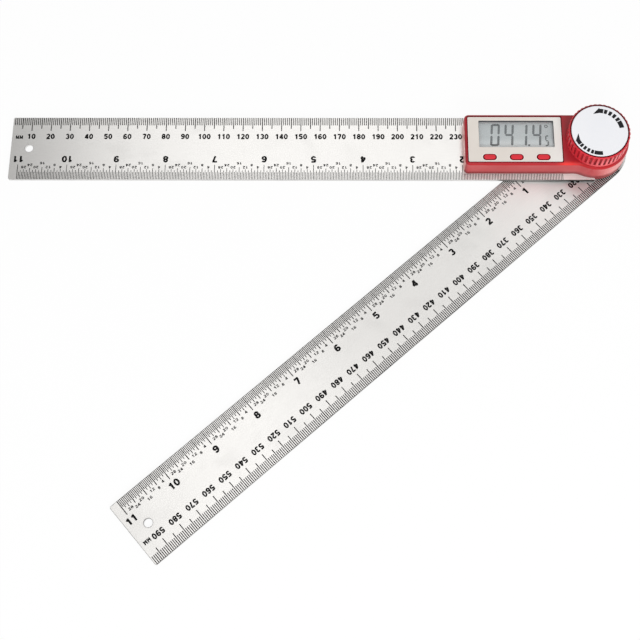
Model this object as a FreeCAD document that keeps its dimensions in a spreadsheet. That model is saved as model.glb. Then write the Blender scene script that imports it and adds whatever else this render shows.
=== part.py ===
import FreeCAD, Part

# Digital angle finder: two flat steel arms on a pivot, a display head on the upper arm and a clamping knob.
# Millimetres and degrees. +Z is up. The origin is on the pivot axis at the underside of the lower arm.
# The upper arm runs along -X, and the lower arm stands open by opening_angle, turned towards -Y.

import math
import os
import re

import Sketcher

DOCUMENT = FreeCAD.newDocument("angle_finder")
SHEET = DOCUMENT.addObject("Spreadsheet::Sheet", "sizes")

# Each driving dimension: name, value, what it measures.
SIZES = (
    # Arms
    ("blade_length", 300.0, "pivot axis to the square end of an arm"),
    ("blade_width", 35.2, "width of both arms"),
    ("blade_thickness", 1.5, "thickness of each arm"),
    ("hinge_end_reach", 16.9, "pivot axis to the rounded end of the lower arm"),
    ("tip_corner_radius", 0.8, "corner rounding at the square end"),
    ("hang_hole_inset", 9.4, "square end to the hang hole's centre"),
    ("hang_hole_radius", 2.1, "radius of the hang hole"),
    ("opening_angle", 41.4, "angle between the arms at rest"),
    # Clearances
    ("running_clearance", 0.05, "radial play of the turning fits"),
    ("free_clearance", 0.4, "radial gap round a post that only passes through"),
    ("seat_gap", 0.1, "gap round a fixed piece in its seat"),
    ("cut_margin", 1.0, "how far a cut runs past the face that it opens"),
    # Pivot
    ("pivot_radius", 3.5, "radius of the pivot post"),
    ("head_flare", 1.2, "height and flare of the post's flush head"),
    ("stud_radius", 2.5, "radius of the threaded top of the post"),
    ("stud_length", 6.4, "length of the threaded top"),
    ("shoulder_drop", 0.3, "post's shoulder below the top of the shell"),
    ("flat_depth", 0.7, "depth of the key flat on the post"),
    ("friction_washer_thickness", 0.4, "washer between the arms"),
    ("friction_washer_radius", 13.0, "outer radius of the washer between the arms"),
    ("bush_wall", 1.45, "wall of the pivot bush"),
    ("bush_flange_radius", 7.0, "radius of the bush's flange"),
    ("bush_flange_thickness", 0.8, "thickness of the bush's flange"),
    ("spring_washer_thickness", 0.4, "height of the spring washer"),
    ("spring_washer_radius", 6.5, "outer radius of the spring washer"),
    # Angle sensor
    ("rotor_hub_radius", 6.0, "radius of the rotor's hub"),
    ("rotor_inset", 2.0, "rim of the stator plate to the rotor plate's rim"),
    ("rotor_thickness", 1.0, "thickness of the rotor plate"),
    ("sensor_gap", 0.5, "air gap between rotor and stator"),
    ("stator_gap", 1.5, "inside wall of the shell's round end to the stator plate"),
    ("stator_thickness", 1.0, "thickness of the stator plate"),
    # Shell
    ("shell_reach", 66.4, "pivot axis to the far end of the shell"),
    ("shell_width", 28.2, "width of the shell's straight part"),
    ("shell_height", 10.9, "height of the shell above the upper arm"),
    ("shell_end_radius", 16.5, "radius of the shell's round end"),
    ("shell_wall", 1.5, "side wall of the shell"),
    ("apron_wall", 0.9, "wall of the shell's apron round the upper arm's tongue"),
    ("shell_roof", 1.4, "roof over the angle sensor"),
    ("neck_radius", 8.0, "hollow blend between straight part and round end"),
    ("shell_corner_radius", 2.2, "rounding of the shell's far corners"),
    ("shell_edge_radius", 1.2, "rounding of the shell's top edge"),
    # Bezel, window and glass
    ("bezel_inset", 1.6, "far end of the shell to the bezel"),
    ("bezel_reach", 17.5, "pivot axis to the bezel's near edge"),
    ("bezel_width", 25.2, "width of the bezel across the arm"),
    ("bezel_thickness", 1.1, "thickness of the bezel"),
    ("bezel_sink", 0.1, "bezel's face below the shell's top"),
    ("bezel_corner_radius", 0.5, "corner rounding of the bezel"),
    ("shelf_thickness", 1.1, "ledge of the shell that carries the bezel"),
    ("window_inset", 5.7, "bezel's far edge to the window"),
    ("window_near_inset", 3.9, "bezel's near edge to the window"),
    ("window_width", 14.5, "width of the window"),
    ("window_offset", 3.05, "window's centre line from the arm's centre line"),
    ("window_corner_radius", 0.6, "corner rounding of the window"),
    ("lens_border", 0.8, "lens beyond the window on each side"),
    ("lens_thickness", 1.0, "thickness of the lens"),
    ("glass_thickness", 2.0, "thickness of the display glass"),
    ("glass_ledge", 1.2, "glass beyond the lens on the key side"),
    # Keys
    ("key_inset", 10.7, "bezel's far edge to the first key"),
    ("key_near_inset", 9.6, "bezel's near edge to the last key"),
    ("key_offset", 9.8, "keys from the arm's centre line"),
    ("key_length", 6.7, "length of a key's cap"),
    ("key_width", 3.3, "width of a key's cap"),
    ("key_gap", 0.3, "gap round a key's cap"),
    ("key_rise", 0.55, "key's top above the bezel"),
    ("key_edge_radius", 0.35, "rounding of a key's top edge"),
    ("key_travel", 0.4, "stroke of a key"),
    ("key_flange_border", 1.1, "key's flange beyond its cap"),
    ("key_flange_thickness", 0.45, "thickness of a key's flange"),
    ("key_play", 0.05, "play above a key's flange and below its stem"),
    ("key_stem_radius", 1.2, "radius of a key's stem"),
    ("dome_radius", 2.0, "radius of a snap dome"),
    ("dome_height", 0.45, "height of a snap dome"),
    # Boards
    ("strip_height", 1.0, "height of the conductive strips"),
    ("strip_width", 1.6, "width of a conductive strip"),
    ("board_margin", 1.0, "far inside wall of the shell to the main board"),
    ("board_gap", 0.9, "second bosses to the main board's near end"),
    ("board_thickness", 1.0, "thickness of the main board"),
    ("board_side_gap", 0.6, "inside wall of the shell to the board's long edges"),
    ("ribbon_width", 8.0, "width of the flat flex"),
    ("ribbon_thickness", 0.15, "thickness of the flat flex"),
    ("ribbon_overlap", 1.2, "length of flex that lies on each board"),
    ("chip_side", 7.0, "side of the driver chip"),
    ("chip_height", 1.3, "height of the driver chip"),
    ("crystal_radius", 1.0, "radius of the clock crystal's can"),
    ("crystal_length", 6.0, "length of the clock crystal's can"),
    ("crystal_gap", 1.5, "gap between the driver chip and the crystal"),
    ("chip_gap", 1.0, "battery tray to the driver chip"),
    ("small_part_length", 1.6, "length of a small board part"),
    ("small_part_width", 0.8, "width of a small board part"),
    ("small_part_height", 0.6, "height of a small board part"),
    ("small_part_pitch", 2.6, "distance between small board parts"),
    # Battery
    ("cell_radius", 10.0, "radius of the coin cell"),
    ("cell_thickness", 3.2, "thickness of the coin cell"),
    ("cell_rim", 1.4, "width of the can's rim round the cell's cap"),
    ("cell_cap_height", 0.3, "step of the cell's cap"),
    ("battery_inset", 20.4, "far end of the shell to the battery's centre"),
    ("cover_radius", 10.8, "radius of the battery cover"),
    ("cover_gap", 0.3, "gap round the battery cover"),
    ("cover_boss_radius", 9.9, "raised middle of the battery cover"),
    ("lug_reach", 11.7, "centre of the cover to the end of a lug"),
    ("lug_width", 6.0, "width of a lug"),
    ("lug_thickness", 0.9, "thickness of a lug"),
    ("lug_lift", 0.05, "play under a lug"),
    ("coin_slot_length", 14.0, "length of the coin slot"),
    ("coin_slot_width", 1.8, "width of the coin slot"),
    ("coin_slot_depth", 0.7, "depth of the coin slot"),
    ("tray_clearance", 0.25, "radial gap between cell and tray"),
    ("tray_wall", 2.0, "wall of the battery tray"),
    ("tray_plate_side", 24.8, "side of the tray's square plate"),
    ("tray_plate_thickness", 1.1, "thickness of the tray's square plate"),
    ("tray_foot_side", 2.4, "side of a tray's foot"),
    ("contact_thickness", 0.2, "thickness of the battery contacts"),
    ("contact_width", 4.0, "width of the battery contacts"),
    ("contact_foot", 1.7, "length of the plus contact's foot"),
    ("spring_reach", 8.0, "half the length of the minus contact"),
    ("spring_knee", 5.0, "middle of the minus contact to its knee"),
    ("spring_tip", 1.0, "half the length that presses on the cell"),
    # Screws
    ("screw_radius", 1.0, "radius of the housing screws"),
    ("screw_head_flare", 0.9, "height and flare of their countersunk heads"),
    ("screw_length", 6.0, "length of the housing screws"),
    ("boss_radius", 1.9, "radius of the screw bosses"),
    ("boss_inset", 4.0, "far end of the shell to the first bosses"),
    ("boss_offset", 10.2, "bosses from the arm's centre line"),
    ("neck_boss_reach", 13.6, "pivot axis to the second bosses, along the arm"),
    ("board_screw_inset", 2.2, "near end of the main board to the board screws"),
    ("board_screw_radius", 0.8, "radius of the board screws"),
    ("board_screw_head_radius", 1.4, "radius of their heads"),
    ("board_screw_head_height", 0.9, "height of their heads"),
    ("board_screw_grip", 2.4, "length of a board screw above the board"),
    ("post_radius", 1.6, "radius of the board posts"),
    # Knob
    ("knob_gap", 0.2, "knob's lower edge above the shell"),
    ("knob_radius", 15.4, "outer radius of the knob"),
    ("knob_height", 9.0, "height of the knob"),
    ("knob_edge_chamfer", 0.6, "chamfer round the knob's top"),
    ("knob_wall", 1.5, "wall of the knob inside its grooves"),
    ("knob_roof", 1.0, "roof of the knob under its cap"),
    ("knob_boss_radius", 8.0, "radius of the knob's middle boss"),
    ("rib_count", 40.0, "number of ribs on the knob"),
    ("groove_width", 1.25, "width of the grooves between ribs"),
    ("groove_depth", 0.7, "depth of the grooves"),
    ("knob_foot_height", 0.9, "plain band below the grooves"),
    ("knob_rim_height", 0.7, "plain rim above the grooves"),
    ("knob_washer_thickness", 0.5, "washer between knob and shell"),
    ("knob_washer_radius", 7.8, "outer radius of that washer"),
    ("insert_radius", 3.8, "radius of the threaded insert"),
    ("insert_flange_radius", 4.7, "radius of the insert's flange"),
    ("insert_flange_thickness", 0.8, "thickness of the insert's flange"),
    ("cap_radius", 14.1, "radius of the white cap"),
    ("cap_thickness", 1.3, "thickness of the white cap"),
    ("cap_rise", 0.1, "cap's top above the knob's rim"),
    ("cap_edge_radius", 0.3, "rounding of the cap's edge"),
)
NAMES = {name for name, _, _ in SIZES}

for row, (name, value, meaning) in enumerate(SIZES, start=1):
    SHEET.set(f"A{row}", meaning)
    SHEET.set(f"B{row}", str(value))
    SHEET.setAlias(f"B{row}", name)
DOCUMENT.recompute()


def cells(expression):
    """The expression with the sheet's name before each size."""
    return re.sub(r"[a-z_]+", lambda m: "sizes." + m.group() if m.group() in NAMES else m.group(), expression)


def amount(expression):
    """The number that an expression of sizes gives."""
    return float(SHEET.evalExpression(cells(expression)))


def bind(thing, **properties):
    """Ties properties to sizes. A double underscore stands for a dot."""
    for path, expression in properties.items():
        thing.setExpression(path.replace("__", "."), cells(expression))


# Levels along Z and places along X that several pieces share.
LOWER_TOP = "(blade_thickness)"
UPPER_LOW = "(blade_thickness + friction_washer_thickness)"
UPPER_TOP = "(2 * blade_thickness + friction_washer_thickness)"
SHELL_TOP = f"({UPPER_TOP} + shell_height)"
BEZEL_TOP = f"({SHELL_TOP} - bezel_sink)"
BEZEL_LOW = f"({BEZEL_TOP} - bezel_thickness)"
SHELF_LOW = f"({BEZEL_LOW} - shelf_thickness)"
GLASS_LOW = f"({SHELF_LOW} - glass_thickness)"
BOARD_TOP = f"({GLASS_LOW} - strip_height)"
BOARD_LOW = f"({BOARD_TOP} - board_thickness)"
CHAMBER_TOP = f"({SHELL_TOP} - shell_roof)"
STATOR_LOW = f"({CHAMBER_TOP} - stator_thickness)"
ROTOR_TOP = f"({STATOR_LOW} - sensor_gap)"
ROTOR_LOW = f"({ROTOR_TOP} - rotor_thickness)"
BUSH_TOP = f"({UPPER_TOP} + bush_flange_thickness)"
HUB_LOW = f"({BUSH_TOP} + spring_washer_thickness)"
SHOULDER = f"({SHELL_TOP} - shoulder_drop)"
KNOB_WASHER_TOP = f"({SHELL_TOP} + knob_washer_thickness)"
KNOB_LOW = f"({SHELL_TOP} + knob_gap)"
KNOB_TOP = f"({KNOB_LOW} + knob_height)"
CAP_LOW = f"({KNOB_TOP} + cap_rise - cap_thickness)"
STUD_TOP = f"({SHOULDER} + stud_length)"
COVER_TOP = f"({UPPER_TOP} + lug_lift + lug_thickness)"
CELL_LOW = f"({COVER_TOP} + lug_lift)"
CELL_TOP = f"({CELL_LOW} + cell_thickness)"
TRAY_LOW = f"({CELL_LOW} + seat_gap)"

BORE = "(pivot_radius + running_clearance)"
PASSAGE = "(pivot_radius + free_clearance)"
BUSH_RADIUS = f"({BORE} + bush_wall)"
BEZEL_LEFT = "(bezel_inset - shell_reach)"
BEZEL_RIGHT = "(-bezel_reach)"
BEZEL_HALF = "(bezel_width / 2)"
WINDOW_LEFT = f"({BEZEL_LEFT} + window_inset)"
WINDOW_RIGHT = f"({BEZEL_RIGHT} - window_near_inset)"
WINDOW_LOW = "(window_offset - window_width / 2)"
WINDOW_HIGH = "(window_offset + window_width / 2)"
FIRST_KEY_X = f"({BEZEL_LEFT} + key_inset)"
LAST_KEY_X = f"({BEZEL_RIGHT} - key_near_inset)"
BATTERY_X = "(battery_inset - shell_reach)"
BOARD_LEFT = "(shell_wall + board_margin - shell_reach)"
BOARD_RIGHT = "(-neck_boss_reach - boss_radius - board_gap)"
INNER_HALF = "(shell_width / 2 - shell_wall)"
STATOR_RADIUS = "(shell_end_radius - shell_wall - stator_gap)"
ROTOR_RADIUS = f"({STATOR_RADIUS} - rotor_inset)"
FAR_BOSS_X = "(boss_inset - shell_reach)"
NEAR_BOSS_X = "(-neck_boss_reach)"
SCREW_PLACES = [(x, y) for x in (FAR_BOSS_X, NEAR_BOSS_X) for y in ("boss_offset", "(-boss_offset)")]
BOARD_SCREW_PLACES = [(f"({BOARD_RIGHT} - board_screw_inset)", y) for y in ("(-key_offset)", "key_offset")]
KEY_PLACES = (
    ("button_left", FIRST_KEY_X),
    ("button_middle", f"(({FIRST_KEY_X} + {LAST_KEY_X}) / 2)"),
    ("button_right", LAST_KEY_X),
)


# Sketch outlines


def hold(sketch, geometry, point, x, y):
    """Fixes a point of the sketch at sizes x and y from its origin."""
    for kind, expression, axis in (("DistanceX", x, -2), ("DistanceY", y, -1)):
        if expression == "0":
            sketch.addConstraint(Sketcher.Constraint("PointOnObject", geometry, point, axis))
        else:
            constraint = Sketcher.Constraint(kind, -1, 1, geometry, point, amount(expression))
            index = sketch.addConstraint(constraint)
            sketch.setExpression(f"Constraints[{index}]", cells(expression))


def polygon(*corners):
    """A closed outline through corners given as sizes."""

    def draw(sketch):
        points = [FreeCAD.Vector(amount(x), amount(y), 0) for x, y in corners]
        count = len(points)
        first = sketch.GeometryCount
        for i in range(count):
            sketch.addGeometry(Part.LineSegment(points[i], points[(i + 1) % count]), False)
        for i in range(count):
            sketch.addConstraint(Sketcher.Constraint("Coincident", first + i, 2, first + (i + 1) % count, 1))
        for i, (x, y) in enumerate(corners):
            hold(sketch, first + i, 1, x, y)

    return draw


def block(left, right, near, far):
    """A rectangle from left to right and near to far."""
    return polygon((left, near), (right, near), (right, far), (left, far))


def centred(x, y, length, width):
    """A rectangle about a middle point."""
    left, right = f"({x} - {length} / 2)", f"({x} + {length} / 2)"
    return block(left, right, f"({y} - {width} / 2)", f"({y} + {width} / 2)")


def disc(radius, x="0", y="0"):
    """A circle."""

    def draw(sketch):
        centre = FreeCAD.Vector(amount(x), amount(y), 0)
        circle = sketch.addGeometry(Part.Circle(centre, FreeCAD.Vector(0, 0, 1), amount(radius)), False)
        hold(sketch, circle, 3, x, y)
        index = sketch.addConstraint(Sketcher.Constraint("Radius", circle, amount(radius)))
        sketch.setExpression(f"Constraints[{index}]", cells(radius))

    return draw


def stadium(length, width, x, y):
    """A slot outline, round at both ends, along X."""

    def draw(sketch):
        radius = amount(width) / 2
        reach = amount(length) / 2 - radius
        centre = FreeCAD.Vector(amount(x), amount(y), 0)
        right = sketch.GeometryCount
        top, left, bottom = right + 1, right + 2, right + 3
        for side in (1, -1):
            end = Part.Circle(centre + FreeCAD.Vector(side * reach, 0, 0), FreeCAD.Vector(0, 0, 1), radius)
            begin = -side * math.pi / 2
            sketch.addGeometry(Part.ArcOfCircle(end, begin, begin + math.pi), False)
            start = centre + FreeCAD.Vector(side * reach, side * radius, 0)
            finish = centre + FreeCAD.Vector(-side * reach, side * radius, 0)
            sketch.addGeometry(Part.LineSegment(start, finish), False)
        for one, other in ((right, top), (top, left), (left, bottom), (bottom, right)):
            sketch.addConstraint(Sketcher.Constraint("Tangent", one, 2, other, 1))
        hold(sketch, right, 3, f"{x} + ({length} - {width}) / 2", y)
        hold(sketch, left, 3, f"{x} - ({length} - {width}) / 2", y)
        index = sketch.addConstraint(Sketcher.Constraint("Radius", right, radius))
        sketch.setExpression(f"Constraints[{index}]", cells(f"({width}) / 2"))

    return draw


# Bodies and features

SUB_PARTS = []


def new_body(label):
    """An empty body whose label names its file."""
    body = DOCUMENT.addObject("PartDesign::Body", label)
    body.Label = label
    SUB_PARTS.append(body)
    return body


def new_sketch(body, level, outlines, plane="XY_Plane"):
    """A sketch of the outlines on one of the body's own planes, moved along its normal by level."""
    sketch = body.newObject("Sketcher::SketchObject", body.Label + "_sketch")
    origin_plane = next(f for f in body.Origin.OriginFeatures if f.Role == plane)
    sketch.AttachmentSupport = (origin_plane, [""])
    sketch.MapMode = "FlatFace"
    bind(sketch, AttachmentOffset__Base__z=level)
    for draw in outlines:
        draw(sketch)
    return sketch


def raise_pad(body, low, high, *outlines, plane="XY_Plane"):
    """Adds the outlines' area from level low to level high."""
    pad = body.newObject("PartDesign::Pad", body.Label + "_pad")
    pad.Profile = new_sketch(body, low, outlines, plane)
    bind(pad, Length=f"{high} - {low}")
    body.Tip = pad
    DOCUMENT.recompute()
    return pad


def cut_pocket(body, low, high, *outlines):
    """Removes the outlines' area from level low to level high, and checks that this takes material away."""
    before = body.Shape.Volume
    pocket = body.newObject("PartDesign::Pocket", body.Label + "_pocket")
    pocket.Profile = new_sketch(body, low, outlines)
    pocket.Reversed = True
    bind(pocket, Length=f"{high} - {low}")
    body.Tip = pocket
    DOCUMENT.recompute()
    if body.Shape.Volume >= before:
        raise ValueError(f"a pocket of {body.Label} removes nothing")
    return pocket


def turn_solid(body, *corners):
    """Revolves a closed outline in the XZ plane about Z."""
    revolution = body.newObject("PartDesign::Revolution", body.Label + "_revolution")
    sketch = new_sketch(body, "0", [polygon(*corners)], "XZ_Plane")
    revolution.Profile = sketch
    revolution.ReferenceAxis = (sketch, ["V_Axis"])
    revolution.Angle = 360
    body.Tip = revolution
    DOCUMENT.recompute()
    return revolution


def dress(body, kind, size, pick):
    """Rounds or chamfers the edges of the body that pick accepts."""
    base = body.Tip
    names = [f"Edge{i}" for i, edge in enumerate(base.Shape.Edges, start=1) if pick(edge)]
    if not names:
        raise ValueError(f"no edge of {body.Label} to dress")
    feature = body.newObject("PartDesign::" + kind, body.Label + "_" + kind.lower())
    feature.Base = (base, names)
    feature.setExpression("Radius" if kind == "Fillet" else "Size", cells(size))
    body.Tip = feature
    DOCUMENT.recompute()
    return feature


NEAR = 1e-4


def upright_at(*places):
    """Picks straight edges along Z at the given places."""
    spots = [(amount(x), amount(y)) for x, y in places]

    def pick(edge):
        box = edge.BoundBox
        if box.XLength > NEAR or box.YLength > NEAR:
            return False
        return any(abs(box.XMin - x) < NEAR and abs(box.YMin - y) < NEAR for x, y in spots)

    return pick


def level_edges(level, test=lambda edge: True):
    """Picks the edges that lie at one level and pass a further test."""
    height = amount(level)

    def pick(edge):
        box = edge.BoundBox
        return box.ZLength < NEAR and abs(box.ZMin - height) < NEAR and test(edge)

    return pick


def circle_of(radius, x="0", y="0"):
    """Tests for a full circle of one radius about one place."""
    size = amount(radius)
    centre = (amount(x), amount(y))

    def test(edge):
        curve = edge.Curve
        if not isinstance(curve, Part.Circle) or abs(curve.Radius - size) > NEAR:
            return False
        return abs(curve.Center.x - centre[0]) < NEAR and abs(curve.Center.y - centre[1]) < NEAR

    return test


def primitive(kind, label, x, y, z):
    """A Part primitive at a place given as sizes."""
    item = DOCUMENT.addObject("Part::" + kind, label)
    bind(item, Placement__Base__x=x, Placement__Base__y=y, Placement__Base__z=z)
    return item


def group(label, items):
    """One sub-part of several separate solids."""
    compound = DOCUMENT.addObject("Part::Compound", label)
    compound.Links = items
    compound.Label = label
    SUB_PARTS.append(compound)
    DOCUMENT.recompute()
    return compound


# Arms

TIP = "(-blade_length)"
HALF = "(blade_width / 2)"
APRON_RADIUS = "(shell_end_radius - apron_wall)"
TONGUE_RADIUS = f"({APRON_RADIUS} - seat_gap)"


def arm_plate(label, low, high, pivot_hole, tongue=None):
    """An arm: square at its tip, with a hang hole and a pivot hole.

    Its hinge end is fully rounded; with a tongue radius it stops at the pivot axis and a round tongue goes on.
    """
    body = new_body(label)
    hinge_end = "0" if tongue else "hinge_end_reach"
    raise_pad(body, low, high, block(TIP, hinge_end, f"(-{HALF})", HALF))
    if tongue:
        raise_pad(body, low, high, disc(tongue))
    else:
        hinge_corners = upright_at((hinge_end, f"(-{HALF})"), (hinge_end, HALF))
        dress(body, "Fillet", f"min({hinge_end}; {HALF} - seat_gap)", hinge_corners)
    dress(body, "Fillet", "tip_corner_radius", upright_at((TIP, f"(-{HALF})"), (TIP, HALF)))
    hang_hole = disc("hang_hole_radius", f"({TIP} + hang_hole_inset)")
    cut_pocket(body, low, high, hang_hole, disc(pivot_hole))
    return body


def countersink(body, level, flare, radius, places):
    """Chamfers round holes at one level."""
    for x, y in places:
        dress(body, "Chamfer", flare, level_edges(level, circle_of(radius, x, y)))


swing_blade = arm_plate("swing_blade", "0", LOWER_TOP, "pivot_radius")
countersink(swing_blade, "0", "head_flare", "pivot_radius", [("0", "0")])

display_blade = arm_plate("display_blade", UPPER_LOW, UPPER_TOP, BUSH_RADIUS, TONGUE_RADIUS)
cut_pocket(display_blade, UPPER_LOW, UPPER_TOP, disc("(cover_radius + cover_gap)", BATTERY_X))
lug_slot = centred(BATTERY_X, "0", "(lug_width + 2 * cover_gap)", "(2 * (lug_reach + 2 * cover_gap))")
cut_pocket(display_blade, UPPER_LOW, UPPER_TOP, lug_slot)
screw_holes = [disc("screw_radius", x, y) for x, y in SCREW_PLACES]
cut_pocket(display_blade, UPPER_LOW, UPPER_TOP, *screw_holes)
countersink(display_blade, UPPER_LOW, "screw_head_flare", "screw_radius", SCREW_PLACES)


# Pivot

pivot_post = new_body("pivot_post")
turn_solid(
    pivot_post,
    ("0", "0"),
    ("(pivot_radius + head_flare)", "0"),
    ("pivot_radius", "head_flare"),
    ("pivot_radius", SHOULDER),
    ("stud_radius", SHOULDER),
    ("stud_radius", STUD_TOP),
    ("0", STUD_TOP),
)
KEY_FLAT = "(pivot_radius - flat_depth)"
key_waste = block(KEY_FLAT, "(pivot_radius + cut_margin)", "(-pivot_radius)", "pivot_radius")
cut_pocket(pivot_post, HUB_LOW, ROTOR_TOP, key_waste)

rotor_hub = new_body("rotor_hub")
raise_pad(rotor_hub, HUB_LOW, ROTOR_LOW, disc("rotor_hub_radius"))
cut_pocket(rotor_hub, HUB_LOW, ROTOR_LOW, disc("pivot_radius"))
key_half = f"sqrt(pivot_radius * pivot_radius - {KEY_FLAT} * {KEY_FLAT})"
key_block = block(KEY_FLAT, "(pivot_radius + seat_gap)", f"(-{key_half})", key_half)
raise_pad(rotor_hub, HUB_LOW, ROTOR_LOW, key_block)

rotor_disc = new_body("rotor_disc")
raise_pad(rotor_disc, ROTOR_LOW, ROTOR_TOP, disc(ROTOR_RADIUS), disc("pivot_radius"))

for turning_piece in (swing_blade, pivot_post, rotor_hub, rotor_disc):
    bind(turning_piece, Placement__Rotation__Angle="opening_angle")

friction_washer = new_body("friction_washer")
raise_pad(friction_washer, LOWER_TOP, UPPER_LOW, disc("friction_washer_radius"), disc(PASSAGE))

pivot_bush = new_body("pivot_bush")
raise_pad(pivot_bush, UPPER_LOW, BUSH_TOP, disc(BUSH_RADIUS), disc(BORE))
raise_pad(pivot_bush, UPPER_TOP, BUSH_TOP, disc("bush_flange_radius"), disc(BORE))

spring_washer = new_body("spring_washer")
raise_pad(spring_washer, BUSH_TOP, HUB_LOW, disc("spring_washer_radius"), disc(PASSAGE))

stator_board = new_body("stator_board")
raise_pad(stator_board, STATOR_LOW, CHAMBER_TOP, disc(STATOR_RADIUS), disc(PASSAGE))


# Shell

SHELL_LEFT = "(-shell_reach)"
SHELL_HALF = "(shell_width / 2)"
INNER_LEFT = "(shell_wall - shell_reach)"


def key_outline(x, border):
    """The outline of the key's cap at x, widened by border on every side."""
    return stadium(f"(key_length + 2 * {border})", f"(key_width + 2 * {border})", x, "(-key_offset)")


housing_shell = new_body("housing_shell")
raise_pad(housing_shell, UPPER_TOP, SHELL_TOP, block(SHELL_LEFT, "0", f"(-{SHELL_HALF})", SHELL_HALF))
raise_pad(housing_shell, UPPER_TOP, SHELL_TOP, disc("shell_end_radius"))
neck_x = f"(-sqrt(shell_end_radius * shell_end_radius - {SHELL_HALF} * {SHELL_HALF}))"
dress(housing_shell, "Fillet", "neck_radius", upright_at((neck_x, f"(-{SHELL_HALF})"), (neck_x, SHELL_HALF)))
far_corners = upright_at((SHELL_LEFT, f"(-{SHELL_HALF})"), (SHELL_LEFT, SHELL_HALF))
dress(housing_shell, "Fillet", "shell_corner_radius", far_corners)
dress(housing_shell, "Fillet", "shell_edge_radius", level_edges(SHELL_TOP))
cut_pocket(housing_shell, UPPER_TOP, SHELF_LOW, block(INNER_LEFT, "0", f"(-{INNER_HALF})", INNER_HALF))
cut_pocket(housing_shell, UPPER_TOP, CHAMBER_TOP, disc("(shell_end_radius - shell_wall)"))
raise_pad(housing_shell, UPPER_LOW, UPPER_TOP, disc("shell_end_radius"), disc(APRON_RADIUS))
arm_side = block("(-shell_end_radius)", "seat_gap", "(-shell_end_radius)", "shell_end_radius")
cut_pocket(housing_shell, UPPER_LOW, UPPER_TOP, arm_side)
for x, y in SCREW_PLACES:
    raise_pad(housing_shell, UPPER_TOP, SHELF_LOW, disc("boss_radius", x, y))
for x, y in BOARD_SCREW_PLACES:
    raise_pad(housing_shell, BOARD_TOP, SHELF_LOW, disc("post_radius", x, y))
screw_tip = f"({UPPER_LOW} + screw_length)"
cut_pocket(housing_shell, UPPER_TOP, screw_tip, *screw_holes)
board_screw_tip = f"({BOARD_TOP} + board_screw_grip)"
board_screw_holes = [disc("board_screw_radius", x, y) for x, y in BOARD_SCREW_PLACES]
cut_pocket(housing_shell, BOARD_TOP, board_screw_tip, *board_screw_holes)
seat_half = f"({BEZEL_HALF} + seat_gap)"
bezel_seat = block(f"({BEZEL_LEFT} - seat_gap)", f"({BEZEL_RIGHT} + seat_gap)", f"(-{seat_half})", seat_half)
cut_pocket(housing_shell, BEZEL_LOW, SHELL_TOP, bezel_seat)


def window(border):
    """The window's outline, widened by border on every side."""
    left, right = f"({WINDOW_LEFT} - {border})", f"({WINDOW_RIGHT} + {border})"
    return block(left, right, f"({WINDOW_LOW} - {border})", f"({WINDOW_HIGH} + {border})")


cut_pocket(housing_shell, SHELF_LOW, BEZEL_LOW, window("(lens_border + seat_gap)"))
key_holes = [key_outline(x, "key_gap") for _, x in KEY_PLACES]
cut_pocket(housing_shell, SHELF_LOW, BEZEL_LOW, *key_holes)
cut_pocket(housing_shell, CHAMBER_TOP, SHELL_TOP, disc(PASSAGE))


# Bezel, lens and glass

bezel_plate = new_body("bezel_plate")
raise_pad(bezel_plate, BEZEL_LOW, BEZEL_TOP, block(BEZEL_LEFT, BEZEL_RIGHT, f"(-{BEZEL_HALF})", BEZEL_HALF))
bezel_corners = [(x, y) for x in (BEZEL_LEFT, BEZEL_RIGHT) for y in (f"(-{BEZEL_HALF})", BEZEL_HALF)]
dress(bezel_plate, "Fillet", "bezel_corner_radius", upright_at(*bezel_corners))
cut_pocket(bezel_plate, BEZEL_LOW, BEZEL_TOP, window("0"))
window_corners = [(x, y) for x in (WINDOW_LEFT, WINDOW_RIGHT) for y in (WINDOW_LOW, WINDOW_HIGH)]
dress(bezel_plate, "Fillet", "window_corner_radius", upright_at(*window_corners))
cut_pocket(bezel_plate, BEZEL_LOW, BEZEL_TOP, *key_holes)

display_lens = new_body("display_lens")
raise_pad(display_lens, f"({BEZEL_LOW} - lens_thickness)", BEZEL_LOW, window("lens_border"))

lcd_panel = new_body("lcd_panel")
GLASS_LEFT = f"({WINDOW_LEFT} - lens_border)"
GLASS_RIGHT = f"({WINDOW_RIGHT} + lens_border)"
GLASS_NEAR = f"({WINDOW_LOW} - lens_border - glass_ledge)"
GLASS_FAR = f"({WINDOW_HIGH} + lens_border)"
raise_pad(lcd_panel, GLASS_LOW, SHELF_LOW, block(GLASS_LEFT, GLASS_RIGHT, GLASS_NEAR, GLASS_FAR))

strips = []
for place, near_edge in (("near", GLASS_NEAR), ("far", f"({GLASS_FAR} - strip_width)")):
    strip = primitive("Box", "strip_" + place, GLASS_LEFT, near_edge, BOARD_TOP)
    bind(strip, Length=f"{GLASS_RIGHT} - {GLASS_LEFT}", Width="strip_width", Height="strip_height")
    strips.append(strip)
group("elastomer_strips", strips)


# Keys

DOME_TOP = f"({BOARD_TOP} + dome_height)"
STEM_LOW = f"({DOME_TOP} + key_travel + key_play)"
FLANGE_TOP = f"({SHELF_LOW} - key_play)"
FLANGE_LOW = f"({FLANGE_TOP} - key_flange_thickness)"
KEY_TOP = f"({BEZEL_TOP} + key_rise)"

for label, x in KEY_PLACES:
    key = new_body(label)
    raise_pad(key, FLANGE_LOW, FLANGE_TOP, key_outline(x, "key_flange_border"))
    raise_pad(key, FLANGE_LOW, KEY_TOP, key_outline(x, "0"))
    raise_pad(key, STEM_LOW, FLANGE_TOP, disc("key_stem_radius", x, "(-key_offset)"))
    dress(key, "Fillet", "key_edge_radius", level_edges(KEY_TOP))

domes = []
for label, x in KEY_PLACES:
    dome = primitive("Cone", "dome_" + label, x, "-key_offset", BOARD_TOP)
    bind(dome, Radius1="dome_radius", Radius2="dome_radius / 2", Height="dome_height")
    domes.append(dome)
group("key_domes", domes)


# Boards

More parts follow.
